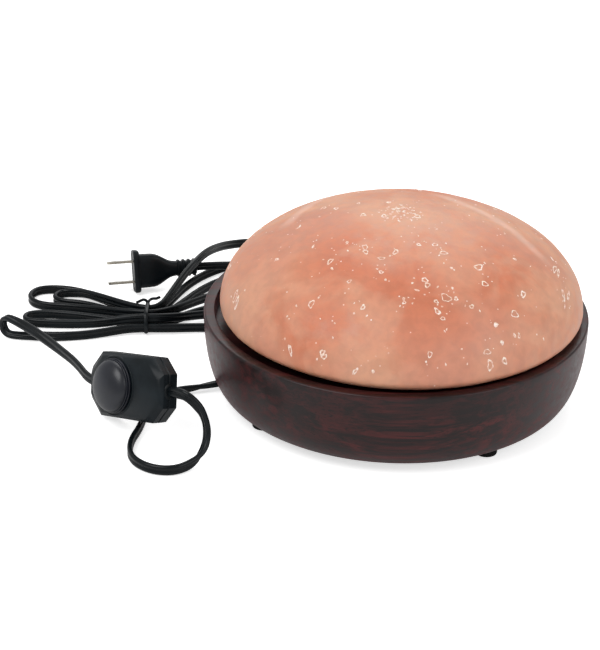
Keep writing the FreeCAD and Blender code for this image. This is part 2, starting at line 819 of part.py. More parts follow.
def tube_solid(wire, start, ahead, radius, sides):
    """A tube along a wire, its section a regular polygon inside the circle of a radius."""
    polygon = Part.makePolygon(polygon_corners(start, ahead, radius, sides))
    return wire.makePipeShell([polygon], True, False)


def polygon_corners(centre, ahead, radius, sides):
    """The corners of a regular polygon square to a direction, the first one again last."""
    turn = Rotation(Vector(0, 0, 1), ahead)
    points = []
    for corner in range(sides + 1):
        angle = 2 * math.pi * (corner + 0.5) / sides
        points.append(centre + turn.multVec(Vector(radius * math.cos(angle), radius * math.sin(angle), 0)))
    return points


def add_tube(name, points, radius, sides=8):
    """A faceted tube along a route, as one solid. Returns the route's wire."""
    wire, radii = route_wire(points)
    solid = tube_solid(wire, points[0], points[1] - points[0], radius, sides)
    section = sides / 2 * radius**2 * math.sin(2 * math.pi / sides)
    report = (name, wire.Length, min(radii), solid.Volume / (section * wire.Length))
    print("%s: length %.1f, least radius %.1f, volume %.4f of section times length" % report)
    piece = DOCUMENT.addObject("Part::Feature", name)
    piece.Label = name
    piece.Shape = solid
    PIECES[name] = piece
    return wire


# --- cord and clip under the base --------------------------------------------------------------


def make_inner_lead():
    """The stretch of cord that the groove holds, from the clip to the wiring cap."""
    lead = DOCUMENT.addObject("Part::Cylinder", "cord_inner_lead")
    lead.Label = "cord_inner_lead"
    lead.setExpression("Radius", S.cord_radius.formula)
    lead.setExpression("Height", (S.groove_reach - S.cord_end_inset).formula)
    outer = groove_point(S.groove_reach.value)
    inner = groove_point(S.cord_end_inset.value)
    lead.Placement = Placement(outer, Rotation(Vector(0, 0, 1), inner - outer))
    PIECES["cord_inner_lead"] = lead


def groove_point(distance):
    """A point on the cord's axis in the groove, at a distance from the middle."""
    angle = math.radians(180 + S.cord_angle.value)
    height = S.cord_exit_height.value
    return Vector(distance * math.cos(angle), distance * math.sin(angle), height)


def make_cord_clip():
    """Nylon clip that bridges the groove, and its two screws."""
    turn = Placement(Vector(), Rotation(S.cord_angle.value, 0, 0))
    body = new_body("cord_clip", turn)
    body.setExpression("Placement.Rotation.Angle", S.cord_angle.formula)
    inner = S.cord_radius + S.pilot_clearance
    outer = inner + S.clip_wall
    ear = outer + S.clip_ear
    ear_top = S.foot_height
    ear_bottom = S.foot_height - S.clip_wall
    section = new_sketch(body, "YZ_Plane", -S.groove_reach)
    bottom = outer_drop(outer, S.clip_wall)
    outline(
        section,
        [
            (-ear, ear_bottom),
            (-bottom, ear_bottom),
            (bottom, ear_bottom),
            (ear, ear_bottom),
            (ear, ear_top),
            (inner, ear_top),
            (ZERO, ear_top - inner),
            (-inner, ear_top),
            (-ear, ear_top),
        ],
        {1: ("arc", outer, False), 5: ("arc", inner, True), 6: ("arc", inner, True)},
    )
    pad(body, section, S.clip_length)
    holes = new_sketch(body, "XY_Plane", S.foot_height)
    centres = [(-CLIP_MIDDLE, CLIP_SCREW_Y * side) for side in (-1, 1)]
    for x, y in centres:
        circle(holes, x, y, S.screw_radius + S.pilot_clearance)
    pocket(body, holes, S.clip_wall)
    top = S.foot_height + S.screw_length - S.pilot_clearance
    screw_group("cord_clip_screws", centres, ear_bottom, top, S.cord_angle)


def outer_drop(outer, drop):
    """Half the width of the clip's arch at the underside of its ears."""
    value = math.sqrt(outer.value**2 - drop.value**2)
    return Size(value, "sqrt(%s ^ 2 - %s ^ 2)" % (outer.formula, drop.formula))


# --- dimmer ------------------------------------------------------------------------------------

DIMMER_MIDDLE = Vector(-142.4, -49.0, 24.2)
DIMMER_TURN = Rotation(-45, -16, 73)
DIMMER_INSIDE = S.dimmer_half - S.dimmer_wall


def dimmer_place(x=0.0, y=0.0, z=0.0):
    """A place in the dimmer's own frame: X along the cord, Z out of the knob."""
    return Placement(DIMMER_MIDDLE, DIMMER_TURN) * Placement(Vector(x, y, z), Rotation())


def octagon(sketch, inset):
    """The housing's outline, moved inwards."""
    length = S.dimmer_length / 2 - inset
    width = S.dimmer_width / 2 - inset
    corner = S.dimmer_corner - inset * (2 - math.sqrt(2))
    outline(
        sketch,
        [
            (length, -width + corner),
            (length, width - corner),
            (length - corner, width),
            (-length + corner, width),
            (-length, width - corner),
            (-length, -width + corner),
            (-length + corner, -width),
            (length - corner, -width),
        ],
    )


def make_dimmer_half(name, up):
    """One half of the housing: a shallow tray with screw posts and half the cord holes."""
    body = new_body(name, dimmer_place())
    outside = new_sketch(body, "XY_Plane")
    octagon(outside, ZERO)
    pad(body, outside, S.dimmer_half, Reversed=not up)
    face = S.dimmer_half.value if up else -S.dimmer_half.value

    def on_face(edge):
        box = edge.BoundBox
        return abs(box.ZMin - face) < 1e-4 and abs(box.ZMax - face) < 1e-4

    dress(body, "Chamfer", S.dimmer_bevel, on_face)
    inside = new_sketch(body, "XY_Plane")
    octagon(inside, S.dimmer_wall)
    pocket(body, inside, DIMMER_INSIDE, Reversed=up)
    posts = new_sketch(body, "XY_Plane", S.board_gap / (2 if up else -2))
    for side in (-1, 1):
        circle(posts, S.boss_x * side, S.boss_y * side, S.boss_radius)
    pad(body, posts, S.dimmer_half - S.dimmer_wall / 2, Reversed=not up)
    ends = new_sketch(body, "YZ_Plane")
    circle(ends, ZERO, ZERO, S.cord_radius + S.pilot_clearance)
    pocket(body, ends, S.dimmer_length + 2, Midplane=True)
    return body


def make_dimmer_housing():
    """Front half with the bushing's hole, rear half with sunk screw holes, and the screws."""
    front = make_dimmer_half("dimmer_front_case", True)
    hole = new_sketch(front, "XY_Plane", S.dimmer_half)
    circle(hole, S.knob_shift, ZERO, S.bushing_radius + S.pilot_clearance)
    pocket(front, hole, S.dimmer_half)
    rear = make_dimmer_half("dimmer_rear_case", False)
    screws = new_body("dimmer_screws", dimmer_place())
    heads = new_sketch(screws, "XY_Plane", -S.dimmer_half + 0.4)
    shanks = new_sketch(screws, "XY_Plane", -S.dimmer_half + S.case_screw_sink)
    depth = DIMMER_INSIDE / 2
    blind = new_sketch(front, "XY_Plane", depth + S.pilot_clearance)
    through = new_sketch(rear, "XY_Plane")
    sinks = new_sketch(rear, "XY_Plane", -S.dimmer_half + S.case_screw_sink)
    for side in (-1, 1):
        x, y = S.boss_x * side, S.boss_y * side
        circle(heads, x, y, S.case_screw_head)
        circle(shanks, x, y, S.case_screw_radius)
        circle(blind, x, y, S.case_screw_radius + S.pilot_clearance)
        circle(through, x, y, S.case_screw_radius + S.pilot_clearance)
        circle(sinks, x, y, S.case_screw_head + S.pilot_clearance)
    pocket(front, blind, depth + 1)
    pocket(rear, through, S.dimmer_half)
    pocket(rear, sinks, S.dimmer_half)
    pad(screws, heads, S.case_screw_sink - 0.4)
    pad(screws, shanks, S.dimmer_half - S.case_screw_sink + depth)


def make_dimmer_grommets():
    """Cord grips that fill the holes in both ends of the housing."""
    for name, side in (("near", 1), ("far", -1)):
        body = new_body("dimmer_grommet_" + name, dimmer_place())
        end = S.dimmer_length / 2 - S.dimmer_wall
        neck = new_sketch(body, "YZ_Plane", end * side)
        circle(neck, ZERO, ZERO, S.cord_radius)
        pad(body, neck, S.dimmer_wall, Reversed=side < 0)
        grip = new_sketch(body, "YZ_Plane", (end - S.board_gap) * side)
        circle(grip, ZERO, ZERO, S.cord_radius + S.dimmer_wall)
        pad(body, grip, S.dimmer_wall * 2, Reversed=side > 0)
        link = new_sketch(body, "YZ_Plane", end * side)
        circle(link, ZERO, ZERO, S.cord_radius - 0.2)
        pad(body, link, S.dimmer_wall, Reversed=side > 0)


def simple_piece(name, kind, corner, **sizes):
    """A plain block or cylinder at a place in the dimmer's frame."""
    piece = DOCUMENT.addObject("Part::" + kind, name)
    piece.Label = name
    for dimension, size in sizes.items():
        piece.setExpression(dimension, size.formula)
    piece.Placement = dimmer_place(*[size.value for size in corner])
    PIECES[name] = piece


def make_dimmer_inside():
    """Board with triac, choke and capacitor, and the potentiometer with its nut."""
    board_bottom = -DIMMER_INSIDE + S.board_gap
    half_length = S.board_length / 2
    half_width = S.board_width / 2
    board = new_body("dimmer_board", dimmer_place())
    plate = new_sketch(board, "XY_Plane", board_bottom)
    rectangle(plate, -half_length, half_length, -half_width, half_width)
    pad(board, plate, S.board_thickness)
    above = board_bottom + S.board_thickness + S.board_gap
    pot = new_body("dimmer_potentiometer", dimmer_place(S.knob_shift.value))
    bore = S.shaft_radius + S.shaft_fit
    bushing_top = S.dimmer_half + S.bushing_rise
    revolve(
        pot,
        [
            (ZERO, DIMMER_INSIDE - S.pot_depth),
            (S.pot_radius, DIMMER_INSIDE - S.pot_depth),
            (S.pot_radius, DIMMER_INSIDE),
            (S.bushing_radius, DIMMER_INSIDE),
            (S.bushing_radius, bushing_top),
            (bore, bushing_top),
            (bore, ZERO),
            (ZERO, ZERO),
        ],
    )
    nut = new_body("dimmer_nut", dimmer_place(S.knob_shift.value))
    hexagon = new_sketch(nut, "XY_Plane", S.dimmer_half)
    corners = [polar_point(S.nut_radius, Size(60 * k, repr(60 * k))) for k in range(6)]
    outline(hexagon, corners)
    circle(hexagon, ZERO, ZERO, S.bushing_radius + S.pilot_clearance)
    pad(nut, hexagon, S.nut_height)
    simple_piece(
        "dimmer_triac",
        "Box",
        (S.triac_x, S.triac_y, above),
        Length=S.triac_length,
        Width=S.triac_width,
        Height=S.triac_height,
    )
    simple_piece(
        "dimmer_capacitor",
        "Box",
        (S.capacitor_x, S.capacitor_y, above),
        Length=S.capacitor_length,
        Width=S.capacitor_width,
        Height=S.capacitor_height,
    )
    simple_piece(
        "dimmer_choke",
        "Cylinder",
        (S.choke_x, S.choke_y, above),
        Radius=S.choke_radius,
        Height=S.choke_height,
    )


def make_dimmer_knob():
    """Domed knob, hollow underneath, on the shaft that it turns."""
    bottom = S.dimmer_half + S.knob_gap
    shoulder = bottom + S.knob_skirt
    top = shoulder + S.knob_dome
    knob = new_body("dimmer_knob", dimmer_place(S.knob_shift.value))
    inner = S.knob_radius - S.knob_wall
    hub = S.shaft_radius + S.knob_wall
    roof = shoulder + S.knob_roof
    hub_bottom = S.dimmer_half + S.bushing_rise + S.knob_gap
    shaft_top = top - S.knob_wall
    crown = S.knob_radius - S.knob_step_width
    revolve(
        knob,
        [
            (inner, bottom),
            (S.knob_radius, bottom),
            (S.knob_radius, shoulder),
            (crown, shoulder + S.knob_step_height),
            (ZERO, top),
            (ZERO, shaft_top),
            (S.shaft_radius, shaft_top),
            (S.shaft_radius, hub_bottom),
            (hub, hub_bottom),
            (hub, roof),
            (inner, roof),
        ],
        {3: ("arc", dome_radius(crown, S.knob_dome - S.knob_step_height), False)},
    )
    shaft = new_body("dimmer_shaft", dimmer_place(S.knob_shift.value))
    disc = new_sketch(shaft, "XY_Plane", S.board_gap)
    circle(disc, ZERO, ZERO, S.shaft_radius)
    pad(shaft, disc, shaft_top - S.board_gap)


def dome_radius(half_width, rise):
    """Radius of the arc over a half width that rises by a height."""
    value = (half_width.value**2 + rise.value**2) / (2 * rise.value)
    text = "(%s ^ 2 + %s ^ 2) / (2 * %s)"
    return Size(value, text % (half_width.formula, rise.formula, rise.formula))


# --- plug --------------------------------------------------------------------------------------

PLUG_NOSE = Vector(-118.2, 132.6, 12.6)
PLUG_TURN = Rotation(192.5, 0, 20)


def plug_place(x=0.0, z=0.0):
    """The plug's own frame: X from the strain relief to the blades, Z across the blades."""
    return Placement(PLUG_NOSE, PLUG_TURN) * Placement(Vector(x, 0, z), Rotation())


def make_plug():
    """Moulded plug: rim, grip that narrows to a ribbed strain relief, slots for the blades."""
    body = new_body("plug_body", plug_place())
    face = S.plug_length
    rim = face - S.flange_depth
    grip = face - S.plug_straight
    neck = face - S.plug_neck
    tall = S.plug_height / 2
    low = S.neck_height / 2
    middle_x = (grip + neck) / 2
    middle_y = (tall + low) / 2
    sweep = s_curve_radius(grip - neck, tall - low)
    side = new_sketch(body, "XZ_Plane")
    outline(
        side,
        [
            (ZERO, -low),
            (neck, -low),
            (middle_x, -middle_y),
            (grip, -tall),
            (rim + 1, -tall),
            (rim + 1, tall),
            (grip, tall),
            (middle_x, middle_y),
            (neck, low),
            (ZERO, low),
        ],
        {
            1: ("arc", sweep, True),
            2: ("arc", sweep, False),
            6: ("arc", sweep, False),
            7: ("arc", sweep, True),
        },
    )
    pad(body, side, S.plug_width, Midplane=True)
    dress(body, "Fillet", S.neck_width / 4, length_edges(rim.value))
    cheeks = new_sketch(body, "XY_Plane")
    slim = S.neck_width / 2
    wide = S.plug_width / 2
    for sign in (-1, 1):
        outline(
            cheeks,
            [
                (Size(-1, "-1"), slim * sign),
                (neck, slim * sign),
                (grip, wide * sign + 0.01 * sign),
                (grip, (wide + 2) * sign),
                (Size(-1, "-1"), (wide + 2) * sign),
            ],
        )
    pocket(body, cheeks, S.plug_height + 2, Midplane=True)
    front = new_sketch(body, "YZ_Plane", rim)
    flange_outline(front)
    pad(body, front, S.flange_depth)
    ribs = new_sketch(body, "YZ_Plane", S.rib_length / 2)
    rib_outline(ribs)
    rib = pad(body, ribs, S.rib_length)
    pattern = body.newObject("PartDesign::LinearPattern", "plug_ribs")
    pattern.Originals = [rib]
    axis = next(item for item in body.Origin.OriginFeatures if item.Role == "X_Axis")
    pattern.Direction = (axis, [""])
    pattern.setExpression("Length", (S.rib_pitch * (S.rib_count - 1)).formula)
    pattern.setExpression("Occurrences", S.rib_count.formula)
    body.Tip = pattern
    DOCUMENT.recompute()
    slots = new_sketch(body, "YZ_Plane", face)
    half_width = S.blade_width / 2
    half_thickness = S.blade_thickness / 2
    for sign in (-1, 1):
        z = S.blade_spacing / 2 * sign
        rectangle(slots, -half_width, half_width, z - half_thickness, z + half_thickness)
    pocket(body, slots, S.blade_root)
    for name, sign in (("upper", 1), ("lower", -1)):
        make_blade("plug_blade_" + name, sign)


def s_curve_radius(run, rise):
    """Radius of two equal arcs that step sideways by rise over a run."""
    value = (run.value**2 + rise.value**2) / (4 * rise.value)
    text = "(%s ^ 2 + %s ^ 2) / (4 * %s)"
    return Size(value, text % (run.formula, rise.formula, rise.formula))


def length_edges(rim):
    """Picks the plug's edges that run along the cord."""

    def wanted(edge):
        box = edge.BoundBox
        along = box.XLength > 2 * max(box.YLength, 1e-3)
        return along and box.XMax < rim + 1.5

    return wanted


def flange_outline(sketch):
    """The contact face: a long rectangle with bevelled corners."""
    half_width = S.flange_width / 2
    half_height = S.flange_height / 2
    cut = S.flange_depth / 2
    outline(
        sketch,
        [
            (half_width, -half_height + cut),
            (half_width, half_height - cut),
            (half_width - cut, half_height),
            (-half_width + cut, half_height),
            (-half_width, half_height - cut),
            (-half_width, -half_height + cut),
            (-half_width + cut, -half_height),
            (half_width - cut, -half_height),
        ],
    )


def rib_outline(sketch):
    """One rib of the strain relief: a rectangle with rounded corners."""
    half_width = S.neck_width / 2 + S.rib_rise
    half_height = S.neck_height / 2 + S.rib_rise
    curve = S.neck_width / 4
    outline(
        sketch,
        [
            (half_width, -half_height + curve),
            (half_width, half_height - curve),
            (half_width - curve, half_height),
            (-half_width + curve, half_height),
            (-half_width, half_height - curve),
            (-half_width, -half_height + curve),
            (-half_width + curve, -half_height),
            (half_width - curve, -half_height),
        ],
        {
            1: ("arc", curve, False),
            3: ("arc", curve, False),
            5: ("arc", curve, False),
            7: ("arc", curve, False),
        },
    )


def make_blade(name, sign):
    """One nickel blade with its hole, set in the plug's slot."""
    blade = new_body(name, plug_place())
    z = S.blade_spacing / 2 * sign
    root = S.plug_length - S.blade_root
    tip = S.plug_length + S.blade_length
    half = S.blade_width / 2
    side = new_sketch(blade, "XY_Plane", z - S.blade_thickness / 2)
    outline(
        side,
        [
            (root, -half),
            (tip - S.blade_tip_cut, -half),
            (tip, -half + S.blade_tip_cut),
            (tip, half - S.blade_tip_cut),
            (tip - S.blade_tip_cut, half),
            (root, half),
        ],
    )
    circle(side, tip - S.blade_hole_inset, ZERO, S.blade_hole_radius)
    pad(blade, side, S.blade_thickness)


# --- free cord, hank and tie -------------------------------------------------------------------

FLOOR = S.cord_radius.value

# The lead leaves the clip under the base, passes under the dimmer, loops in front of it and
# rises to its near end. The link goes from its far end to the left, folds over on itself and
# comes back into the hank. The tail leaves the hank over the plug, turns and ends in it.
LEAD_POINTS = [
    (-95, -5.6, 4.7),
    (-108, -8.5, 2.6),
    (-122, -14, FLOOR),
    (-132.5, -26, FLOOR),
    (-137, -41, FLOOR),
    (-138.3, -56, FLOOR),
    (-142.5, -72.5, FLOOR),
    (-141, -89, FLOOR),
    (-130.5, -99.5, FLOOR),
    (-117.5, -101.5, FLOOR),
    (-107.5, -94.5, 3.0),
    (-102, -87, 7.5),
    (-100.5, -82, 15),
    (-102, -80.5, 23.5),
    (-106, -80, 30.5),
    (-112, -78.8, 35.6),
]
LINK_POINTS = [
    (-178, -5, 15.0),
    (-189.5, 12, 14.5),
    (-203, 31, 14.0),
    (-217, 45.8, 13.8),
    (-226.5, 53.2, 13.6),
    (-235.2, 59.4, 13.6),
    (-237.9, 61.4, 8.0),
    (-235.2, 59.6, FLOOR),
    (-226.5, 54.6, FLOOR),
    (-213, 53.2, FLOOR),
    (-196, 51.5, FLOOR),
    (-180, 53.8, FLOOR),
    (-168, 57.8, 2.8),
]
TAIL_POINTS = [
    (-131, 92, 13.5),
    (-125, 106, 18),
    (-118.5, 120, 21),
    (-112, 138, 20.5),
    (-104.5, 160, 14.5),
    (-97, 175, 9.5),
    (-86, 182, 7.9),
    (-76, 174, 7.9),
    (-75, 160, 7.9),
    (-84, 149, 8.2),
    (-95, 140.5, 10.0),
]

# Half turns of the hank, in the order in which the cord makes them: the side, the middle, the
# radius, the direction from which it enters, the way in and the way out as extra points.
HANK_TURNS = [
    ("right", (-91, 79), 12.5, -90, [(-112, 66.5, FLOOR)], [(-108, 85, FLOOR)]),
    ("left", (-212, 75), 6.2, -90, [(-176, 66.5, 3.2)], [(-196, 81.5, FLOOR)]),
    ("right", (-88, 110.5), 12, -75, [(-112, 92, FLOOR)], [(-107, 112, FLOOR)]),
    ("left", (-206.5, 105.5), 12.5, -90, [(-190, 90.5, FLOOR)], [(-186.5, 114.6, FLOOR)]),
    ("right", (-86, 153), 12, 110, [(-120, 139, FLOOR)], [(-108, 133, FLOOR)]),
    ("left", (-196.8, 104.6), 6.8, -90, [(-182, 95, 2.6)], [(-192, 109.0, 3.6), (-183.5, 102.2, 6.2)]),
]
# The place of each strand among those that lie side by side at the tie. The fifth strand is
# the last in the row, because it swings out furthest behind the plug.
STRAND_SLOTS = (0, 1, 2, 3, 6, 4, 5)
TURN_CORNERS = 3
LEFT_STAGGER = 0.455
RIGHT_STAGGER = 1.35


def vectors(points):
    return [Vector(*point) for point in points]


def slot_place(slot):
    """A strand's place at the tie: odd slots lie in the upper row, between the lower ones."""
    row_rise = S.strand_step.value * math.sqrt(3) / 2
    y = S.waist_y.value + S.strand_step.value / 2 * slot
    z = S.waist_height.value + (row_rise if slot % 2 else 0)
    return y, z


def waist_points(slot, to_right):
    """The straight stretch of a strand through the tie. Strands that turn sooner end sooner."""
    y, z = slot_place(slot)
    rest = max(STRAND_SLOTS) - slot
    left = Vector(S.waist_x.value - S.waist_half.value - LEFT_STAGGER * rest, y, z)
    right = Vector(S.waist_x.value + S.waist_half.value + RIGHT_STAGGER * rest, y, z)
    return [left, right] if to_right else [right, left]


def half_turn(middle, radius, entry, way):
    """Corner points of a half turn that starts in the direction entry."""
    points = []
    reach = radius / math.cos(math.radians(90 / TURN_CORNERS))
    for corner in range(TURN_CORNERS):
        angle = math.radians(entry + way * (corner + 0.5) * 180 / TURN_CORNERS)
        x = middle[0] + reach * math.cos(angle)
        y = middle[1] + reach * math.sin(angle)
        points.append(Vector(x, y, FLOOR))
    return points


def hank_points():
    """Seven strands through the tie, joined by six half turns, three on each side."""
    points = [Vector(*LINK_POINTS[-1])]
    for number_, (side, middle, radius, entry, way_in, way_out) in enumerate(HANK_TURNS):
        points += waist_points(STRAND_SLOTS[number_], side == "right")
        points += vectors(way_in)
        way = 1 if side == "right" and entry < 0 else -1
        points += half_turn(middle, radius, entry, way)
        points += vectors(way_out)
    points += waist_points(STRAND_SLOTS[-1], True)
    points.append(Vector(*TAIL_POINTS[0]))
    return points


def least_gap(wire, radius):
    """The least distance between the surfaces of stretches that aren't neighbours."""
    step = 1.0
    apart = int(round(6.6 * radius / step))
    points = wire.discretize(Number=int(wire.Length / step))
    cells = {}
    for index, point in enumerate(points):
        key = tuple(int(math.floor(value / (4 * radius))) for value in point)
        cells.setdefault(key, []).append(index)
    near = [(i, j, k) for i in (-1, 0, 1) for j in (-1, 0, 1) for k in (-1, 0, 1)]
    least = 4 * radius
    for key, members in cells.items():
        for shift in near:
            others = cells.get(tuple(a + b for a, b in zip(key, shift)), ())
            for first in members:
                for second in others:
                    if second - first > apart:
                        least = min(least, points[first].distanceToPoint(points[second]))
    return least - 2 * radius


def make_free_cord():
    """Lead, link, hank and tail, which meet face to face."""
    radius = S.cord_radius.value
    end = S.dimmer_length.value / 2
    near = dimmer_place(end).Base
    far = dimmer_place(-end).Base
    before_near = dimmer_place(end + 5.5).Base
    after_far = dimmer_place(-end - 8).Base
    lead = [groove_point(S.groove_reach.value)] + vectors(LEAD_POINTS) + [before_near, near]
    add_tube("cord_lead", lead, radius)
    add_tube("cord_link", [far, after_far] + vectors(LINK_POINTS), radius)
    hank = add_tube("cord_hank", hank_points(), radius)
    print("cord_hank: least gap to itself %.2f" % least_gap(hank, radius))
    before_plug = plug_place(-10.5).Base
    tail = add_tube("cord_tail", vectors(TAIL_POINTS) + [before_plug, PLUG_NOSE], radius)
    print("cord_tail: least gap to itself %.2f" % least_gap(tail, radius))


def tie_loop(reach):
    """The tie's path: a belt round the strands at the corners of their stack."""
    x = S.waist_x.value
    corners = [Vector(x, *slot_place(slot)) for slot in (0, 6, 5, 1)]
    edges = []
    for index, corner in enumerate(corners):
        before = corner - corners[index - 1]
        after = corners[(index + 1) % 4] - corner
        out_before = Vector(0, before.z, -before.y).normalize() * reach
        out_after = Vector(0, after.z, -after.y).normalize() * reach
        between = (out_before + out_after).normalize() * reach
        end = corner + out_after
        arc = Part.Arc(corner + out_before, corner + between, end)
        edges.append(arc.toShape())
        edges.append(Part.LineSegment(end, end + after).toShape())
    return edges


def make_tie():
    """Wire tie round the strands, and its two ends, twisted and bent away beside it."""
    thin = S.tie_radius.value
    reach = S.cord_radius.value + S.tie_clearance.value + thin
    edges = tie_loop(reach)
    first = edges[0]
    start = first.valueAt(first.FirstParameter)
    ring = tube_solid(Part.Wire(edges), start, first.tangentAt(first.FirstParameter), thin, 6)
    y, z = slot_place(5)
    out = (reach + 2 * thin + S.tie_clearance.value) / math.sqrt(2)
    root = Vector(S.waist_x.value, y + out, z + out)
    ends = [
        root + Vector(6.4, 3.6, 0.2),
        root + Vector(3.2, 2.9, 0.9),
        root,
        root + Vector(-2.6, 1.9, 1.1),
        root + Vector(-5.0, 1.4, 0.2),
    ]
    wire, _ = route_wire(ends)
    twist = tube_solid(wire, ends[0], ends[1] - ends[0], thin, 6)
    piece = DOCUMENT.addObject("Part::Feature", "cord_tie")
    piece.Label = "cord_tie"
    piece.Shape = Part.makeCompound([ring, twist])
    PIECES["cord_tie"] = piece


# --- the whole lamp ----------------------------------------------------------------------------


def check_and_write():
    """Stops at any piece that failed, then writes one STEP file for each piece."""
    DOCUMENT.recompute()
    for item in DOCUMENT.Objects:
        if "Invalid" in item.State or "Error" in item.State:
            raise RuntimeError("%s: %s" % (item.Name, item.State))
    for name, piece in PIECES.items():
        if piece.Shape.isNull() or not piece.Shape.isValid() or not piece.Shape.Solids:
            raise RuntimeError(name + ": no valid solid")
    os.makedirs("parts", exist_ok=True)
    for name, piece in PIECES.items():
        piece.Shape.exportStep("parts/%s.step" % name)
    print("%d pieces" % len(PIECES))


def main():
    make_wood_base()
    make_feet()
    foot_top = S.foot_height + S.screw_length - S.pilot_clearance
    foot_spot = polar_point(S.foot_circle, S.foot_first_angle)
    screw_group("foot_screws", [foot_spot], FOOT_SCREW_SEAT, foot_top, count=S.foot_count)
    make_salt_dome()
    make_holder_plate()
    plate_top = PLATE_TOP + S.screw_length - S.pilot_clearance
    plate_spot = polar_point(S.plate_screw_circle, S.cord_angle)
    screw_group("plate_screws", [plate_spot], PLATE_BOTTOM, plate_top, count=S.plate_screw_count)
    make_wiring_cap()
    make_holder()
    make_bulb()
    make_inner_lead()
    make_cord_clip()
    make_dimmer_housing()
    make_dimmer_grommets()
    make_dimmer_inside()
    make_dimmer_knob()
    make_plug()
    make_free_cord()
    make_tie()
    check_and_write()


main()
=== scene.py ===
"""Salt crystal lamp: a carved dome of rock salt in a turned wooden bowl, with its cord set.

Pieces are modelled in millimetres, each on a bmesh of its own, and scaled to metres when
they are finished. +Z is up, and the floor is at zero.
"""

import json
import math
import random

import bmesh
import bpy
from mathutils import Matrix, Vector, noise
from mathutils.bvhtree import BVHTree

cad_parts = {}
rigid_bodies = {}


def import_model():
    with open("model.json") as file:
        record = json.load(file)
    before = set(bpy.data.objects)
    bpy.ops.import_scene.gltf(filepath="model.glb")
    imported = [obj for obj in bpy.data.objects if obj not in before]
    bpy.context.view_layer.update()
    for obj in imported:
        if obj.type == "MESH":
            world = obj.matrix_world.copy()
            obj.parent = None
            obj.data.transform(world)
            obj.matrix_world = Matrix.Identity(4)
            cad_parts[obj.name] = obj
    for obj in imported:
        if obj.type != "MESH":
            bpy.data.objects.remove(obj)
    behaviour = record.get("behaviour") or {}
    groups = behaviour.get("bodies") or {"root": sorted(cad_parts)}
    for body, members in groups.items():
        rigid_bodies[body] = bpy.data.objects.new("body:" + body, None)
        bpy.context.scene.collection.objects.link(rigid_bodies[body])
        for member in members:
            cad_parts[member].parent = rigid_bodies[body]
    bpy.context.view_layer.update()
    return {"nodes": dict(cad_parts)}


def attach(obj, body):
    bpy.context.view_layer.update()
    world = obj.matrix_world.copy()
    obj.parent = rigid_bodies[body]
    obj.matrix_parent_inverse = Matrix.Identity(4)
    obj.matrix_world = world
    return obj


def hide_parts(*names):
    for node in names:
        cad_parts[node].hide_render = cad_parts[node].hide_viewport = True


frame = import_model()

bl_info = {
    "name": "Salt crystal lamp",
    "version": (1, 0, 0),
    "blender": (4, 5, 0),
    "location": "3D View > Sidebar > Salt lamp",
    "description": "Builds a salt crystal lamp with its cord, dimmer and plug",
    "category": "Add Mesh",
}

MM = 0.001
FULL_TURN = math.tau
SOFTENED_FROM = math.radians(20)


# --- colours and materials ---------------------------------------------------------------------


def linear(hex_colour):
    """An sRGB hex colour as linear red, green and blue."""
    channels = [int(hex_colour[i : i + 2], 16) / 255 for i in (1, 3, 5)]
    return tuple(c / 12.92 if c <= 0.04045 else ((c + 0.055) / 1.055) ** 2.4 for c in channels)


def paint(hex_colour):
    return (*linear(hex_colour), 1.0)


def colour_property(name, hex_colour, description):
    return bpy.props.FloatVectorProperty(
        name=name,
        description=description,
        subtype="COLOR",
        size=3,
        min=0.0,
        max=1.0,
        default=linear(hex_colour),
    )


def length_property(name, millimetres, description):
    return bpy.props.FloatProperty(
        name=name,
        description=description,
        default=millimetres * MM,
        min=0.0,
        unit="LENGTH",
        precision=4,
    )


class SaltLampColours(bpy.types.PropertyGroup):
    """The lamp's colours."""

    salt_pale: colour_property("Pale salt", "#d59c7e", "Cloudy pink salt of most of the dome")
    salt_deep: colour_property("Deep salt", "#c97350", "Orange salt where iron stains the crystal")
    salt_rose: colour_property("Rose salt", "#ca876e", "Dusky pink clouds in the salt")
    wood_dark: colour_property("Dark stain", "#150909", "Darkest grain of the stained wood")
    wood_red: colour_property("Red stain", "#481818", "Reddest grain of the stained wood")
    cord_black: colour_property("Cord", "#0a0f12", "Soft PVC of the cord and plug")
    housing_black: colour_property("Dimmer", "#0c1317", "Moulded housing of the dimmer")
    knob_black: colour_property("Knob", "#10131c", "Smooth domed knob of the dimmer")


class SaltLampSizes(bpy.types.PropertyGroup):
    """The lamp's finer sizes, which the solids don't hold."""

    cord_width: length_property("Cord width", 5.8, "Wide side of the flat twin cord")
    cord_thickness: length_property("Cord thickness", 3.0, "Narrow side of the flat twin cord")
    salt_unevenness: length_property("Salt unevenness", 0.3, "How far the salt strays from true")
    rim_round: length_property("Rim rounding", 1.1, "Radius of the bowl's outer rim edge")
    tie_width: length_property("Tie width", 2.3, "Width of the tie round the hank")
    extra_marks: bpy.props.IntProperty(
        name="Scattered marks",
        description="Small pits with white edges scattered over the salt",
        default=240,
        min=0,
    )


def add_node(tree, kind, settings=None, **inputs):
    """Adds one shader node, with its settings and its inputs."""
    node = tree.nodes.new("ShaderNode" + kind)
    for name, value in (settings or {}).items():
        setattr(node, name, value)
    set_inputs(tree, node, **inputs)
    return node


def set_inputs(tree, node, **inputs):
    """Sets a node's inputs. Each is a value, or the output socket that feeds it."""
    for name, value in inputs.items():
        key = int(name[1:]) if name[0] == "_" else name.replace("_", " ")
        if isinstance(value, bpy.types.NodeSocket):
            tree.links.new(value, node.inputs[key])
        else:
            node.inputs[key].default_value = value


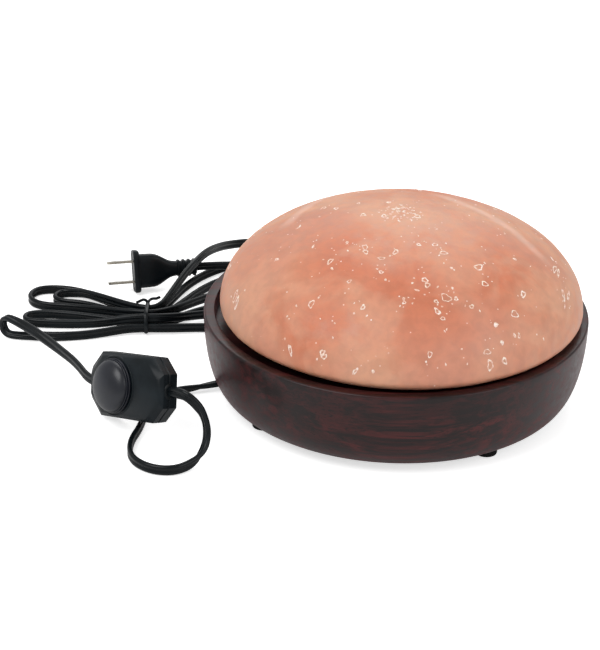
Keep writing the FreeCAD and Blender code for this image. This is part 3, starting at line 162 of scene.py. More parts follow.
def start_material(name):
    """A material with a Principled shader, its node tree, and Object coordinates."""
    material = bpy.data.materials.new(name)
    material.use_nodes = True
    tree = material.node_tree
    tree.nodes.clear()
    shader = add_node(tree, "BsdfPrincipled")
    add_node(tree, "OutputMaterial", Surface=shader.outputs["BSDF"])
    place = add_node(tree, "TexCoord").outputs["Object"]
    return material, tree, shader, place


def stretched(tree, place, along_x):
    """Object coordinates shrunk along X, so that a pattern runs long in that direction."""
    return add_node(tree, "Mapping", Vector=place, Scale=(along_x, 1, 1)).outputs["Vector"]


def clouds(tree, place, size_mm, detail=3.0, distortion=0.0, roughness=0.5):
    """Soft noise whose lumps are about size_mm across."""
    made = add_node(
        tree, "TexNoise", Vector=place, Scale=1 / (size_mm * MM),
        Detail=detail, Distortion=distortion, Roughness=roughness,
    )
    return made.outputs["Fac"]


def ramp(tree, factor, low, high, start=0.0, end=1.0):
    """Maps a factor from start..end to low..high, clamped and eased at both ends."""
    made = add_node(
        tree, "MapRange", {"interpolation_type": "SMOOTHSTEP"}, Value=factor,
        From_Min=start, From_Max=end, To_Min=low, To_Max=high,
    )
    return made.outputs["Result"]


def blend_colours(tree, factor, first, second, mode="MIX"):
    settings = {"data_type": "RGBA", "blend_type": mode}
    return add_node(tree, "Mix", settings, _0=factor, _6=first, _7=second).outputs[2]


def combine(tree, operation, first, second):
    return add_node(tree, "Math", {"operation": operation}, _0=first, _1=second).outputs["Value"]


def vector_math(tree, operation, output, **inputs):
    return add_node(tree, "VectorMath", {"operation": operation}, **inputs).outputs[output]


def bump(tree, height, depth_mm, normal=None):
    """A bump whose full height is depth_mm."""
    made = add_node(tree, "Bump", Height=height, Distance=depth_mm * MM, Strength=1.0)
    if normal is not None:
        set_inputs(tree, made, Normal=normal)
    return made.outputs["Normal"]


def vein(tree, place, spot, turn, reach):
    """How strongly one healed crack shows at a place."""
    crack = add_node(
        tree, "Mapping", {"vector_type": "TEXTURE"}, Vector=place, Location=spot, Rotation=turn
    ).outputs["Vector"]
    waves = add_node(tree, "TexNoise", Vector=place, Scale=60.0).outputs["Color"]
    wander = vector_math(tree, "SCALE", "Vector", _0=waves, Scale=VEIN_WANDER)
    moved = vector_math(tree, "ADD", "Vector", _0=crack, _1=wander)
    side = add_node(tree, "SeparateXYZ", Vector=moved).outputs["X"]
    off = combine(tree, "ABSOLUTE", combine(tree, "SUBTRACT", side, VEIN_WANDER / 2), 0)
    away = vector_math(tree, "LENGTH", "Value", _0=crack)
    inside = ramp(tree, away, 1.0, 0.0, reach * 0.6, reach)
    return combine(tree, "MULTIPLY", ramp(tree, off, 0.3, 0.0, *VEIN_EDGE), inside)


def carved_salt(colours):
    """Rock salt, sanded: cloudy pink with orange zones, and light sinks into it."""
    material, tree, shader, place = start_material("rock_salt_sanded")
    deep = (*colours.salt_deep, 1)
    broad = clouds(tree, place, 70, 3, 0.6)
    middling = clouds(tree, place, 26, 4, 0.8)
    fine = clouds(tree, place, 6, 4, 0.3)
    rosy = ramp(tree, broad, 0, 0.8, 0.40, 0.62)
    body = blend_colours(tree, rosy, (*colours.salt_pale, 1), (*colours.salt_rose, 1))
    near = 0.0
    for spot, reach in STAINS:
        away = vector_math(tree, "DISTANCE", "Value", _0=place, _1=spot)
        near = combine(tree, "MAXIMUM", near, ramp(tree, away, 0.95, 0.0, 0.004, reach))
    stained = combine(tree, "MULTIPLY", near, ramp(tree, middling, 0.5, 1.0, 0.36, 0.6))
    body = blend_colours(tree, stained, body, deep)
    patches = ramp(tree, middling, 0, 0.35, 0.48, 0.66)
    patches = combine(tree, "MULTIPLY", patches, ramp(tree, broad, 1, 0.3, 0.4, 0.6))
    body = blend_colours(tree, patches, body, deep)
    for spot, turn, reach in VEINS:
        shown = vein(tree, place, spot, turn, reach)
        body = blend_colours(tree, shown, body, paint(VEIN_COLOUR))
    grain = ramp(tree, fine, 0.92, 1.05, 0.3, 0.7)
    grey = add_node(tree, "CombineColor", Red=grain, Green=grain, Blue=grain).outputs["Color"]
    body = blend_colours(tree, 1.0, body, grey, "MULTIPLY")
    # pin-prick specks of undyed salt
    cells = add_node(tree, "TexVoronoi", Vector=place, Scale=1 / (4.5 * MM), Randomness=1.0)
    dot = ramp(tree, cells.outputs["Distance"], 0.75, 0, 0.05, 0.12)
    chosen = ramp(tree, clouds(tree, place, 14, 2), 0, 1, 0.52, 0.6)
    specks = combine(tree, "MULTIPLY", dot, chosen)
    set_inputs(
        tree, shader, Base_Color=blend_colours(tree, specks, body, paint(SPECK_COLOUR)),
        Roughness=ramp(tree, fine, 0.42, 0.62, 0.3, 0.7), IOR=1.54,
        Subsurface_Weight=0.3, Subsurface_Radius=(1.0, 0.45, 0.3), Subsurface_Scale=0.006,
        Normal=bump(tree, clouds(tree, place, 1.6, 3), 0.05, bump(tree, middling, 0.5)),
    )
    return material


VEIN_COLOUR = "#f3d3c4"
SPECK_COLOUR = "#fbe6da"
# A vein wanders by up to half of this, and fades out between these distances, in metres.
VEIN_WANDER = 0.006
VEIN_EDGE = (0.0008, 0.0055)

# Iron stains at the heart of the block: middle and reach, in metres.
STAINS = (
    ((0.004, -0.068, 0.098), 0.060),
    ((-0.028, -0.046, 0.104), 0.050),
    ((0.044, -0.050, 0.102), 0.050),
    ((-0.050, -0.080, 0.080), 0.040),
    ((0.020, 0.070, 0.095), 0.060),
)

# Healed cracks: middle, turn of the sheet, half-length, in metres and radians.
VEINS = (
    ((0.050, 0.010, 0.095), (0.3, 0.2, 0.80), 0.050),
    ((-0.045, 0.035, 0.090), (0.1, -0.3, -0.50), 0.040),
    ((0.010, 0.062, 0.085), (-0.4, 0.1, 1.30), 0.045),
)


def salt_crust():
    """Powdered salt round the pits: white, dry and matt."""
    material, tree, shader, place = start_material("salt_powder_crust")
    dust = clouds(tree, place, 1.3, 3)
    whiter = ramp(tree, dust, 0, 1, 0.3, 0.7)
    set_inputs(
        tree, shader, Base_Color=blend_colours(tree, whiter, paint("#e0aa92"), paint("#fdeee2")),
        Roughness=0.85, Subsurface_Weight=0.15, Subsurface_Scale=0.002,
        Normal=bump(tree, dust, 0.08),
    )
    return material


def stained_wood(colours):
    """Hardwood stained to dark mahogany under satin lacquer: long red streaks, open pores."""
    material, tree, shader, place = start_material("mahogany_stained_lacquered")
    streaks = clouds(tree, stretched(tree, place, 0.06), 4.5, 5, 0.5, 0.62)
    bands = clouds(tree, stretched(tree, place, 0.25), 26, 3, 0.8)
    pores = clouds(tree, stretched(tree, place, 0.035), 0.9, 2, 0.2)
    reddish = ramp(tree, streaks, 0, 1, 0.38, 0.66)
    reddish = combine(tree, "MULTIPLY", reddish, ramp(tree, bands, 0.35, 1, 0.36, 0.64))
    body = blend_colours(tree, reddish, (*colours.wood_dark, 1), (*colours.wood_red, 1))
    open_pores = ramp(tree, pores, 0, 0.75, 0.57, 0.66)
    set_inputs(
        tree, shader, Base_Color=blend_colours(tree, open_pores, body, paint("#120809")),
        Roughness=ramp(tree, streaks, 0.36, 0.5, 0.3, 0.7), IOR=1.5, Specular_IOR_Level=0.2,
        Coat_Weight=0.28, Coat_Roughness=0.22,
        Sheen_Weight=0.12, Sheen_Roughness=0.4, Sheen_Tint=paint("#c0606c"),
        Normal=bump(tree, pores, 0.025),
    )
    return material


def moulded(name, colour, roughness, grain_mm, grain_depth, coat, shine):
    """Moulded plastic: even colour, a fine texture from the mould and slight wear."""
    material, tree, shader, place = start_material(name)
    wear = clouds(tree, place, 18, 4)
    worn = ramp(tree, wear, 0, 1, 0.4, 0.7)
    lighter = (*(min(1.0, c * 1.7 + 0.002) for c in colour), 1)
    set_inputs(
        tree, shader, Base_Color=blend_colours(tree, worn, (*colour, 1), lighter),
        Roughness=ramp(tree, wear, roughness - 0.05, roughness + 0.07, 0.3, 0.7),
        IOR=1.5, Specular_IOR_Level=shine, Coat_Weight=coat, Coat_Roughness=0.2,
        Normal=bump(tree, clouds(tree, place, grain_mm, 2), grain_depth),
    )
    return material


def metal(name, hex_colour, roughness, marks_mm):
    """Metal with fine drawn marks and a little tarnish."""
    material, tree, shader, place = start_material(name)
    marks = clouds(tree, stretched(tree, place, 0.15), marks_mm, 3)
    tarnish = ramp(tree, clouds(tree, place, 7, 4), 0, 0.7, 0.45, 0.7)
    bright = paint(hex_colour)
    dull = (*(c * 0.72 for c in bright[:3]), 1)
    set_inputs(
        tree, shader, Base_Color=blend_colours(tree, tarnish, bright, dull), Metallic=1.0,
        Roughness=ramp(tree, marks, roughness - 0.06, roughness + 0.1, 0.3, 0.7),
        Normal=bump(tree, marks, 0.008),
    )
    return material


def clear_glass():
    """Blown glass, thin and clear, with faint waves from blowing."""
    material, tree, shader, place = start_material("soda_glass_blown")
    set_inputs(
        tree, shader, Base_Color=paint("#fbfdfd"), Roughness=0.02, IOR=1.5,
        Transmission_Weight=1.0, Normal=bump(tree, clouds(tree, place, 12, 1), 0.02),
    )
    return material


# Moulded finishes: material, colour, roughness, size and depth of the grain in millimetres,
# weight of the clear coat, and shine. A colour is a hex colour or one of the lamp's colours.
MOULDED = {
    "cord": ("pvc_cord_extruded", "cord_black", 0.27, 0.5, 0.01, 0.0, 0.22),
    "plug": ("pvc_plug_moulded", "cord_black", 0.34, 0.35, 0.02, 0.0, 0.2),
    "housing": ("abs_housing_spark_eroded", "housing_black", 0.36, 0.3, 0.015, 0.0, 0.2),
    "knob": ("abs_knob_smooth", "knob_black", 0.36, 0.5, 0.006, 0.0, 0.5),
    "rubber": ("rubber_foot_moulded", "#0c0c0c", 0.7, 0.4, 0.03, 0.0, 0.2),
    "phenolic": ("phenolic_moulded", "#151211", 0.3, 0.6, 0.01, 0.2, 0.5),
    "nylon": ("nylon_clip_moulded", "#d8d2c2", 0.5, 0.6, 0.01, 0.0, 0.5),
    "board": ("phenolic_paper_board", "#7a5a2b", 0.55, 0.7, 0.02, 0.0, 0.5),
    "component": ("epoxy_coated_component", "#1b2a4a", 0.4, 0.5, 0.01, 0.0, 0.5),
    "black_glass": ("vitrite_black_glass", "#0a0a0c", 0.12, 0.9, 0.004, 0.5, 0.5),
}
# Metal finishes: material, colour, roughness and the size of the drawn marks in millimetres.
METALS = {
    "steel": ("steel_zinc_plated", "#a9aaad", 0.34, 0.4),
    "brass": ("brass_spun", "#c9a35a", 0.3, 0.4),
    "nickel": ("nickel_plated_brass", "#c8c2b4", 0.24, 0.4),
    "solder": ("lead_free_solder", "#9fa0a2", 0.42, 1.2),
    "tungsten": ("tungsten_wire", "#6d6c6a", 0.45, 0.4),
}
MADE = {}


def make_material(name):
    colours = bpy.context.scene.salt_lamp_colours
    if name in MOULDED:
        title, colour, *numbers = MOULDED[name]
        colour = linear(colour) if colour[0] == "#" else tuple(getattr(colours, colour))
        return moulded(title, colour, *numbers)
    if name in METALS:
        return metal(*METALS[name])
    if name in ("crust", "glass"):
        return salt_crust() if name == "crust" else clear_glass()
    return {"salt": carved_salt, "wood": stained_wood}[name](colours)


def material_named(name):
    """The finish of that name, made when it is first asked for."""
    if name not in MADE:
        MADE[name] = make_material(name)
    return MADE[name]


# --- mesh helpers ------------------------------------------------------------------------------


def finish_piece(mesh_data, name, finish, body, stands_for=(), turn=None, sharp=35.0):
    """Turns a bmesh in millimetres into a piece of the lamp that rides on a body."""
    if turn is not None:
        mesh_data.transform(turn)
    mesh_data.transform(Matrix.Scale(MM, 4))
    mesh = bpy.data.meshes.new(name)
    mesh_data.to_mesh(mesh)
    mesh_data.free()
    mesh.materials.append(material_named(finish))
    for face in mesh.polygons:
        face.use_smooth = True
    mesh.set_sharp_from_angle(angle=math.radians(sharp))
    piece = bpy.data.objects.new(name, mesh)
    bpy.context.scene.collection.objects.link(piece)
    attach(piece, body)
    if stands_for:
        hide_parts(*stands_for)
    return piece


def rounded(corners, steps=4):
    """An outline with its corners rounded: each corner is radius out, height, rounding."""
    line = []
    for index, (r, z, fillet) in enumerate(corners):
        here = Vector((r, z))
        if fillet <= 0:
            line.append(here)
            continue
        back = Vector(corners[index - 1][:2]) - here
        ahead = Vector(corners[(index + 1) % len(corners)][:2]) - here
        half = back.angle(ahead) / 2
        reach = min(fillet / math.tan(half), back.length * 0.49, ahead.length * 0.49)
        radius = reach * math.tan(half)
        inward = (back.normalized() + ahead.normalized()).normalized()
        centre = here + inward * (radius / math.sin(half))
        start = here + back.normalized() * reach - centre
        end = here + ahead.normalized() * reach - centre
        sweep = start.angle_signed(end)
        for step in range(steps + 1):
            turn = Matrix.Rotation(-sweep * step / steps, 2)
            line.append(centre + turn @ start)
    return line


def oval_arc(across, up, start, end, count, middle=(0.0, 0.0), power=1.0):
    """Points on an oval from one angle to another, in degrees. Power squares it off."""
    points = []
    for step in range(count + 1):
        angle = math.radians(start + (end - start) * step / count)
        c, s = math.cos(angle), math.sin(angle)
        x = math.copysign(abs(c) ** power, c) if abs(c) > 1e-9 else 0.0
        z = math.copysign(abs(s) ** power, s) if abs(s) > 1e-9 else 0.0
        points.append(Vector((middle[0] + across * x, middle[1] + up * z)))
    return points


def turned(line, steps, closed=True):
    """A lathe form: the outline of (radius, height) points spun a full turn about Z."""
    form = bmesh.new()
    points = [form.verts.new((p[0], 0, p[1])) for p in line]
    pairs = zip(points, points[1:] + points[:1] if closed else points[1:])
    edges = [form.edges.new(pair) for pair in pairs]
    bmesh.ops.spin(
        form, geom=points + edges, cent=(0, 0, 0), axis=(0, 0, 1),
        angle=FULL_TURN, steps=steps, use_merge=True,
    )
    bmesh.ops.remove_doubles(form, verts=form.verts, dist=1e-4)
    bmesh.ops.recalc_face_normals(form, faces=form.faces)
    return form


def loft(form, loops):
    """Joins loops of points, each with the same count, into a skin with flat ends."""
    rings = [[form.verts.new(point) for point in loop] for loop in loops]
    count = len(rings[0])
    for low, high in zip(rings, rings[1:]):
        for side in range(count):
            after = (side + 1) % count
            form.faces.new((low[side], low[after], high[after], high[side]))
    form.faces.new(rings[0][::-1])
    form.faces.new(rings[-1])


def soften(form, width):
    """Bevels every edge that turns by more than SOFTENED_FROM."""
    edges = [
        edge
        for edge in form.edges
        if len(edge.link_faces) == 2 and edge.calc_face_angle(0) > SOFTENED_FROM
    ]
    bmesh.ops.bevel(
        form, geom=edges, offset=width, offset_type="OFFSET", segments=2, profile=0.5,
        affect="EDGES", material=-1, clamp_overlap=True,
    )


def cut_away(form, cutter):
    """Takes the cutter's form out of the form, and returns what is left."""
    pair = []
    for name, data in (("whole", form), ("cutter", cutter)):
        bmesh.ops.recalc_face_normals(data, faces=data.faces)
        mesh = bpy.data.meshes.new(name)
        data.to_mesh(mesh)
        data.free()
        part = bpy.data.objects.new(name, mesh)
        bpy.context.scene.collection.objects.link(part)
        pair.append(part)
    whole, tool = pair
    subtract = whole.modifiers.new("cut", "BOOLEAN")
    subtract.operation = "DIFFERENCE"
    subtract.solver = "EXACT"
    subtract.object = tool
    graph = bpy.context.evaluated_depsgraph_get()
    result = bmesh.new()
    result.from_mesh(bpy.data.meshes.new_from_object(whole.evaluated_get(graph)))
    for part in pair:
        bpy.data.objects.remove(part)
    return result


def dimmer_turn():
    """From the dimmer's own frame, X along the cord and Z out of the knob, to the lamp's."""
    yaw = Matrix.Rotation(math.radians(-45), 4, "Z")
    pitch = Matrix.Rotation(math.radians(-16), 4, "Y")
    roll = Matrix.Rotation(math.radians(73), 4, "X")
    return Matrix.Translation((-142.4, -49.0, 24.2)) @ yaw @ pitch @ roll


def plug_turn():
    """From the plug's own frame, X towards the blades and Z across them, to the lamp's."""
    yaw = Matrix.Rotation(math.radians(192.5), 4, "Z")
    roll = Matrix.Rotation(math.radians(20), 4, "X")
    return Matrix.Translation((-118.2, 132.6, 12.6)) @ yaw @ roll


# --- cords -------------------------------------------------------------------------------------

# The cord's routes in millimetres. A point with no height lies at EDGE, half the cord's width
# above the floor, because the cord stands on edge in its bends.
EDGE = 2.95
LEAD_ROUTE = [
    (-86.0, -5.0, 5.0), (-95, -5.6, 4.5), (-108, -8.5, 3.0), (-122, -14), (-132.5, -26),
    (-137, -41), (-138.3, -56), (-142.5, -72.5), (-141, -89), (-130.5, -99.5), (-117.5, -101.5),
    (-107.5, -94.5, 3.6), (-102, -87, 8.0), (-100.5, -82, 15), (-102, -80.5, 23.5),
    (-106, -80, 30.5), (-112, -78.8, 35.6), (-117.59, -73.81, 34.26), (-121.33, -70.07, 32.74),
]
LINK_ROUTE = [
    (-163.47, -27.93, 15.66), (-168.91, -22.49, 13.45), (-178, -5, 15.0), (-189.5, 12, 14.5),
    (-203, 31, 14.0), (-213.5, 43.5, 13.8), (-220.5, 50.6, 13.6), (-227.0, 56.0, 13.6),
    (-229.4, 57.8, 8.0), (-227.2, 56.6, 2.0), (-220.0, 54.0, 2.0), (-210.0, 53.2, 2.4),
    (-196, 51.5), (-180, 53.8), (-168, 57.8, 3.2),
]
TAIL_ROUTE = [
    (-131, 92, 13.5), (-125, 106, 18), (-118.5, 120, 21), (-112, 138, 20.5), (-104.5, 160, 14.5),
    (-97, 175, 9.5), (-86, 182, 7.9), (-76, 174, 7.9), (-75, 160, 7.9), (-84, 149, 8.2),
    (-95, 140.5, 10.0), (-107.95, 134.87, 12.6), (-118.2, 132.6, 12.6),
]
# The hank: the strands go through the tie in slots, each a step further back than the last.
TIE_X = -144.5
FIRST_SLOT_Y = 62.5
SLOT_STEP = 2.8
SLOT_HEIGHTS = (4.1, 9.3, 4.1, 9.3, 4.1, 9.6, 4.1)
LAST_STRAND = 5
CORNER_SWEEP = 60
# The turns of the hank, right and left in turn: middle, radius, where it starts in degrees, its
# sense, the slot before it, and the points on the way in and out.
HANK_TURNS = [
    ((-91, 79), 12.5, -90, 1, 0, [(-112, 66.5)], [(-108, 85)]),
    ((-212, 75), 6.2, -90, -1, 1, [(-176, 66.5, 3.8)], [(-196, 81.5)]),
    ((-88, 110.5), 12, -75, 1, 2, [(-112, 92)], [(-107, 112)]),
    ((-206.5, 105.5), 12.5, -90, -1, 3, [(-190, 90.5)], [(-186.5, 114.6)]),
    ((-86, 153), 12, 110, -1, 6, [(-120, 139)], [(-108, 133)]),
    ((-196.8, 104.6), 6.8, -90, -1, 4, [(-182, 95, 3.1)], [(-192, 109, 4.4), (-183.5, 102.2, 7.4)]),
]
INNER_ROUTE = [
    (-86.0, -5.0, 6.5), (-64.0, -3.72, 6.5), (-42.0, -2.44, 6.2), (-28.0, -1.63, 5.2),
    (-11.5, -0.67, 5.0),
]
UPRIGHT = (0, 0, 1)
# Which way the cord's wide side points, at numbered points of the route.
LEAD_SIDES = [
    (0, (0.06, -1, 0)), (1, (0.15, -1, 0.1)), (4, UPRIGHT), (11, UPRIGHT),
    (13, (0.5, -0.85, 0.25)), (14, (0.5, -0.85, 0.0)), (16, (0.2, -0.15, 0.9)),
    (18, (0.02, 0.393, 0.919)),
]
MAIN_SIDES = [
    (0, (0.02, 0.393, 0.919)), (2, UPRIGHT), (5, (0.45, 0.6, 0.5)), (7, (0.58, 0.81, 0.0)),
    (9, (0.58, 0.81, 0.0)), (10, (0.3, 0.9, 0.25)), (13, UPRIGHT), (70, UPRIGHT),
    (72, (0.0732, -0.334, 0.940)),
]
INNER_SIDES = [(0, (0.06, -1, 0)), (4, (0.06, -1, 0))]
LINE_STEPS = 8


def through_tie(slot, to_right):
    """The two points that hold a strand in its slot, left and right of the tie."""
    rest = len(SLOT_HEIGHTS) - 1 - slot
    y, z = FIRST_SLOT_Y + SLOT_STEP * slot, SLOT_HEIGHTS[slot]
    ends = [(TIE_X - 5.5 - 0.455 * rest, y, z), (TIE_X + 5.5 + 1.35 * rest, y, z)]
    return ends if to_right else ends[::-1]


def half_turn(middle, radius, start, sense):
    """Three corners round half a circle, on edge on the floor."""
    reach = radius / math.cos(math.radians(CORNER_SWEEP / 2))
    corners = []
    for number in range(3):
        angle = math.radians(start + sense * (number + 0.5) * CORNER_SWEEP)
        x, y = middle[0] + reach * math.cos(angle), middle[1] + reach * math.sin(angle)
        corners.append((x, y, EDGE))
    return corners


def hank_route():
    """The hank's points, to a tenth of a millimetre: a strand through the tie, then a turn."""
    route = []
    for number, (middle, radius, start, sense, slot, way_in, way_out) in enumerate(HANK_TURNS):
        route += through_tie(slot, number % 2 == 0) + way_in
        route += half_turn(middle, radius, start, sense) + way_out
    route += through_tie(LAST_STRAND, True)
    return [(round(x, 1), round(y, 1), *rest) for x, y, *rest in route]


def centre_line(name, route):
    """Points along the smooth spline that has the route as its control points."""
    curve = bpy.data.curves.new(name + "_route", "CURVE")
    curve.dimensions = "3D"
    curve.resolution_u = LINE_STEPS
    spline = curve.splines.new("NURBS")
    spline.points.add(len(route) - 1)
    for point, place in zip(spline.points, route):
        point.co = (*place, 1)
    spline.order_u = 3
    spline.use_endpoint_u = True
    carrier = bpy.data.objects.new(name + "_route", curve)
    mesh = bpy.data.meshes.new_from_object(carrier)
    line = [vertex.co.copy() for vertex in mesh.vertices]
    bpy.data.meshes.remove(mesh)
    bpy.data.objects.remove(carrier)
    bpy.data.curves.remove(curve)
    return line


def side_at(sides, number):
    """The wide side's direction at a place between two numbered points of the route."""
    for (first, here), (last, there) in zip(sides, sides[1:]):
        if number <= last:
            share = max(0.0, (number - first) / (last - first))
            share = share * share * (3 - 2 * share)
            return Vector(here).lerp(Vector(there), share)
    return Vector(sides[-1][1])


def twin_section(width, thickness):
    """The cord's section: two round cores side by side with a groove between them."""
    lobe = thickness / 2
    shift = width / 2 - lobe
    points = []
    for side in (1, -1):
        for step in range(10):
            angle = math.radians(-138 + step * 276 / 9)
            points.append((side * (shift + lobe * math.cos(angle)), side * lobe * math.sin(angle)))
        points.append((0.0, side * lobe * 0.60))
    return points


def flat_cord(form, line, sides, section):
    """A flat twin cord along a line, its wide side turned as the sides say."""
    loops = []
    last = len(line) - 1
    for index, here in enumerate(line):
        ahead = (line[min(index + 1, last)] - line[max(index - 1, 0)]).normalized()
        wide = side_at(sides, index / LINE_STEPS + 0.5)
        wide = (wide - ahead * wide.dot(ahead)).normalized()
        thin = ahead.cross(wide)
        loops.append([here + wide * a + thin * b for a, b in section])
    loft(form, loops)
    bmesh.ops.recalc_face_normals(form, faces=form.faces)


def make_flat_cord(name, route, sides, stands_for):
    """A piece of flat twin cord, and its centre line in metres."""
    sizes = bpy.context.scene.salt_lamp_sizes
    section = twin_section(sizes.cord_width / MM, sizes.cord_thickness / MM)
    line = centre_line(name, [(*point, EDGE)[:3] for point in route])
    form = bmesh.new()
    flat_cord(form, line, sides, section)
    piece = finish_piece(form, name, "cord", "base", stands_for, sharp=50)
    return piece, [point * MM for point in line]


class SALTLAMP_OT_cords(bpy.types.Operator):
    """Lay the flat twin cord: the lead to the dimmer, and the tied hank to the plug"""

    bl_idname = "salt_lamp.cords"
    bl_label = "Cords"

    def execute(self, context):
        make_flat_cord("cord_under_base", INNER_ROUTE, INNER_SIDES, ("cord_inner_lead",))
        lead, path = make_flat_cord("cord_to_dimmer", LEAD_ROUTE, LEAD_SIDES, ("cord_lead",))
        nodes = ("cord_link", "cord_hank", "cord_tail")
        route = [*LINK_ROUTE, *hank_route(), *TAIL_ROUTE]
        main, path = make_flat_cord("cord_to_plug", route, MAIN_SIDES, nodes)
        on_it = [make_tie(), make_plug(), *(bpy.data.objects[n] for n in BLADES)]
        return {"FINISHED"}


def round_tube(form, line, radius, sides=10, flat=1.0):
    """A tube along a line; flat below one makes it a strap that lies on what it goes round."""
    loops = []
    last = len(line) - 1
    across = Vector((1, 0, 0))
    for index, here in enumerate(line):
        ahead = (line[min(index + 1, last)] - line[max(index - 1, 0)]).normalized()
        across = (across - ahead * across.dot(ahead)).normalized()
        out = ahead.cross(across)
        loop = []
        for side in range(sides):
            angle = FULL_TURN * side / sides
            c, s = math.cos(angle), math.sin(angle)
            loop.append(here + across * (radius * c) + out * (radius * flat * s))
        loops.append(loop)
    loft(form, loops)


# The tie's belt round the strands, and its two ends, in millimetres.
TIE_BELT = [
    (-144.5, 80.6, 7.6), (-144.5, 78.4, 14.2), (-144.4, 72.0, 14.0), (-144.6, 64.0, 13.6),
    (-144.5, 61.4, 10.6), (-144.4, 59.2, 6.4), (-144.5, 60.2, 0.85), (-144.6, 68.0, 0.8),
    (-144.5, 76.0, 0.8), (-144.4, 81.8, 0.9), (-144.5, 82.0, 4.4), (-144.6, 79.9, 9.2),
    (-144.5, 78.0, 13.8),
]
TIE_END_LEFT = [
    (-144.3, 77.4, 13.6), (-145.6, 78.2, 15.0), (-147.6, 78.0, 15.3), (-149.8, 76.8, 14.4),
    (-151.4, 76.4, 13.9),
]
TIE_END_RIGHT = [
    (-144.7, 77.8, 13.4), (-143.2, 78.8, 15.0), (-141.4, 79.4, 15.5), (-139.2, 79.6, 15.2),
    (-137.4, 81.0, 15.8),
]


def make_tie():
    """The wire tie: a plastic-covered strap round the hank, its two ends twisted off."""
    form = bmesh.new()
    half = bpy.context.scene.salt_lamp_sizes.tie_width / MM / 2
    round_tube(form, centre_line("tie_belt", TIE_BELT), half, flat=0.5)
    for route in (TIE_END_LEFT, TIE_END_RIGHT):
        round_tube(form, centre_line("tie_end", route), 0.85, flat=0.8)
    bmesh.ops.recalc_face_normals(form, faces=form.faces)
    return finish_piece(form, "hank_tie", "cord", "base", ("cord_tie",))


# --- plug --------------------------------------------------------------------------------------

BLADES = ("plug_blade_upper", "plug_blade_lower")
# Along the plug: place, half height, half width and how square the section is.
PLUG_SECTIONS = [
    (14.0, 4.75, 4.15, 3.0), (16.0, 5.0, 4.25, 3.2), (18.0, 5.7, 4.5, 3.4),
    (20.0, 6.8, 4.8, 3.8), (22.0, 8.0, 5.15, 4.4), (24.0, 9.1, 5.5, 5.2), (26.0, 9.9, 5.9, 6.0),
    (28.0, 10.25, 6.15, 6.6), (32.0, 10.4, 6.3, 7.0), (36.3, 10.5, 6.4, 7.0),
]
FLANGE = [
    (36.3, 12.4, 6.7, 7.0), (36.7, 12.9, 7.15, 7.0), (37.3, 13.15, 7.4, 7.5),
    (39.2, 13.2, 7.5, 8.0), (39.75, 12.95, 7.25, 7.5), (40.0, 12.5, 6.8, 7.0),
    (40.0, 11.6, 5.9, 6.5), (39.75, 11.4, 5.7, 6.5),
]
RIBS = 4
RIB_START = 0.9
RIB_PITCH = 3.3
# One rib: how far along it, and how far out from the strain relief.
RIB = ((0.0, 0.0), (0.08, 0.45), (0.35, 0.82), (0.9, 0.9), (1.45, 0.82), (1.72, 0.45), (1.8, 0.0))


def squared_loop(x, half_height, half_width, power, count=40):
    """A rounded rectangle square to X, as a superellipse."""
    loop = []
    for step in range(count):
        angle = FULL_TURN * (step + 0.5) / count
        c, s = math.cos(angle), math.sin(angle)
        y = math.copysign(abs(c) ** (2 / power), c) * half_width
        z = math.copysign(abs(s) ** (2 / power), s) * half_height
        loop.append(Vector((x, y, z)))
    return loop


def make_plug():
    """Moulded two-blade plug: flange, grip that narrows, and a ribbed strain relief."""
    form = bmesh.new()
    loops = [squared_loop(0.15, 3.6, 2.6, 2.6), squared_loop(0.3, 4.0, 3.2, 2.8)]
    for rib in range(RIBS):
        start = RIB_START + rib * RIB_PITCH
        for along, rise in RIB:
            loops.append(squared_loop(start + along, 4.55 + rise, 3.95 + rise, 3.4))
    loft(form, loops + [squared_loop(*section) for section in PLUG_SECTIONS])
    loft(form, [squared_loop(*section) for section in FLANGE])
    bmesh.ops.recalc_face_normals(form, faces=form.faces)
    stands_for = ("plug_body",)
    return finish_piece(
        form, "plug_moulded", "plug", "base", stands_for, plug_turn()
    )


# --- dimmer ------------------------------------------------------------------------------------

HALF_LENGTH = 31.0
HALF_WIDTH = 17.5
CORNER = 8.5
KNOB_X = -7.6
SCREW_X, SCREW_Y = 25.4, 9.8
# The housing's halves: height, how far the sides lie in, and how much further the corners.
FRONT = ((0.12, 1.6), (0.12, 0.45), (0.5, 0.0), (3.6, 0.0), (5.9, 1.7, 1.6), (6.5, 2.4, 1.9))
REAR = ((-6.5, 1.5, 0.3), (-5.6, 0.3), (-0.5, 0.0), (-0.12, 0.45), (-0.12, 1.6))
# Outlines to turn: radius, height and rounding.
COLLAR = [(15.3, 6.2, 0), (16.6, 6.2, 0), (16.3, 6.9, 0.3), (15.5, 6.9, 0.3)]
SCREW = [
    (0, -6.05, 0), (1.5, -6.0, 0), (2.05, -5.6, 0.2), (2.05, -4.6, 0), (1.1, -4.5, 0),
    (1.1, 0, 0), (0, 0, 0),
]
KNOB_HOLLOW = ((0, 13.9), (3.0, 13.9), (3.0, 9.1), (4.6, 9.1), (4.6, 10.5), (13.4, 10.5))


def housing_loop(z, inset, corner_inset=0.0):
    """The housing's eight-sided outline at a height, moved in at its sides and corners."""
    length = HALF_LENGTH - inset
    width = HALF_WIDTH - inset
    corner = CORNER - inset * (2 - math.sqrt(2)) + corner_inset * math.sqrt(2)
    return [
        Vector(point)
        for point in (
            (length, -width + corner, z),
            (length, width - corner, z),
            (length - corner, width, z),
            (-length + corner, width, z),
            (-length, width - corner, z),
            (-length, -width + corner, z),
            (-length + corner, -width, z),
            (length - corner, -width, z),
        )
    ]


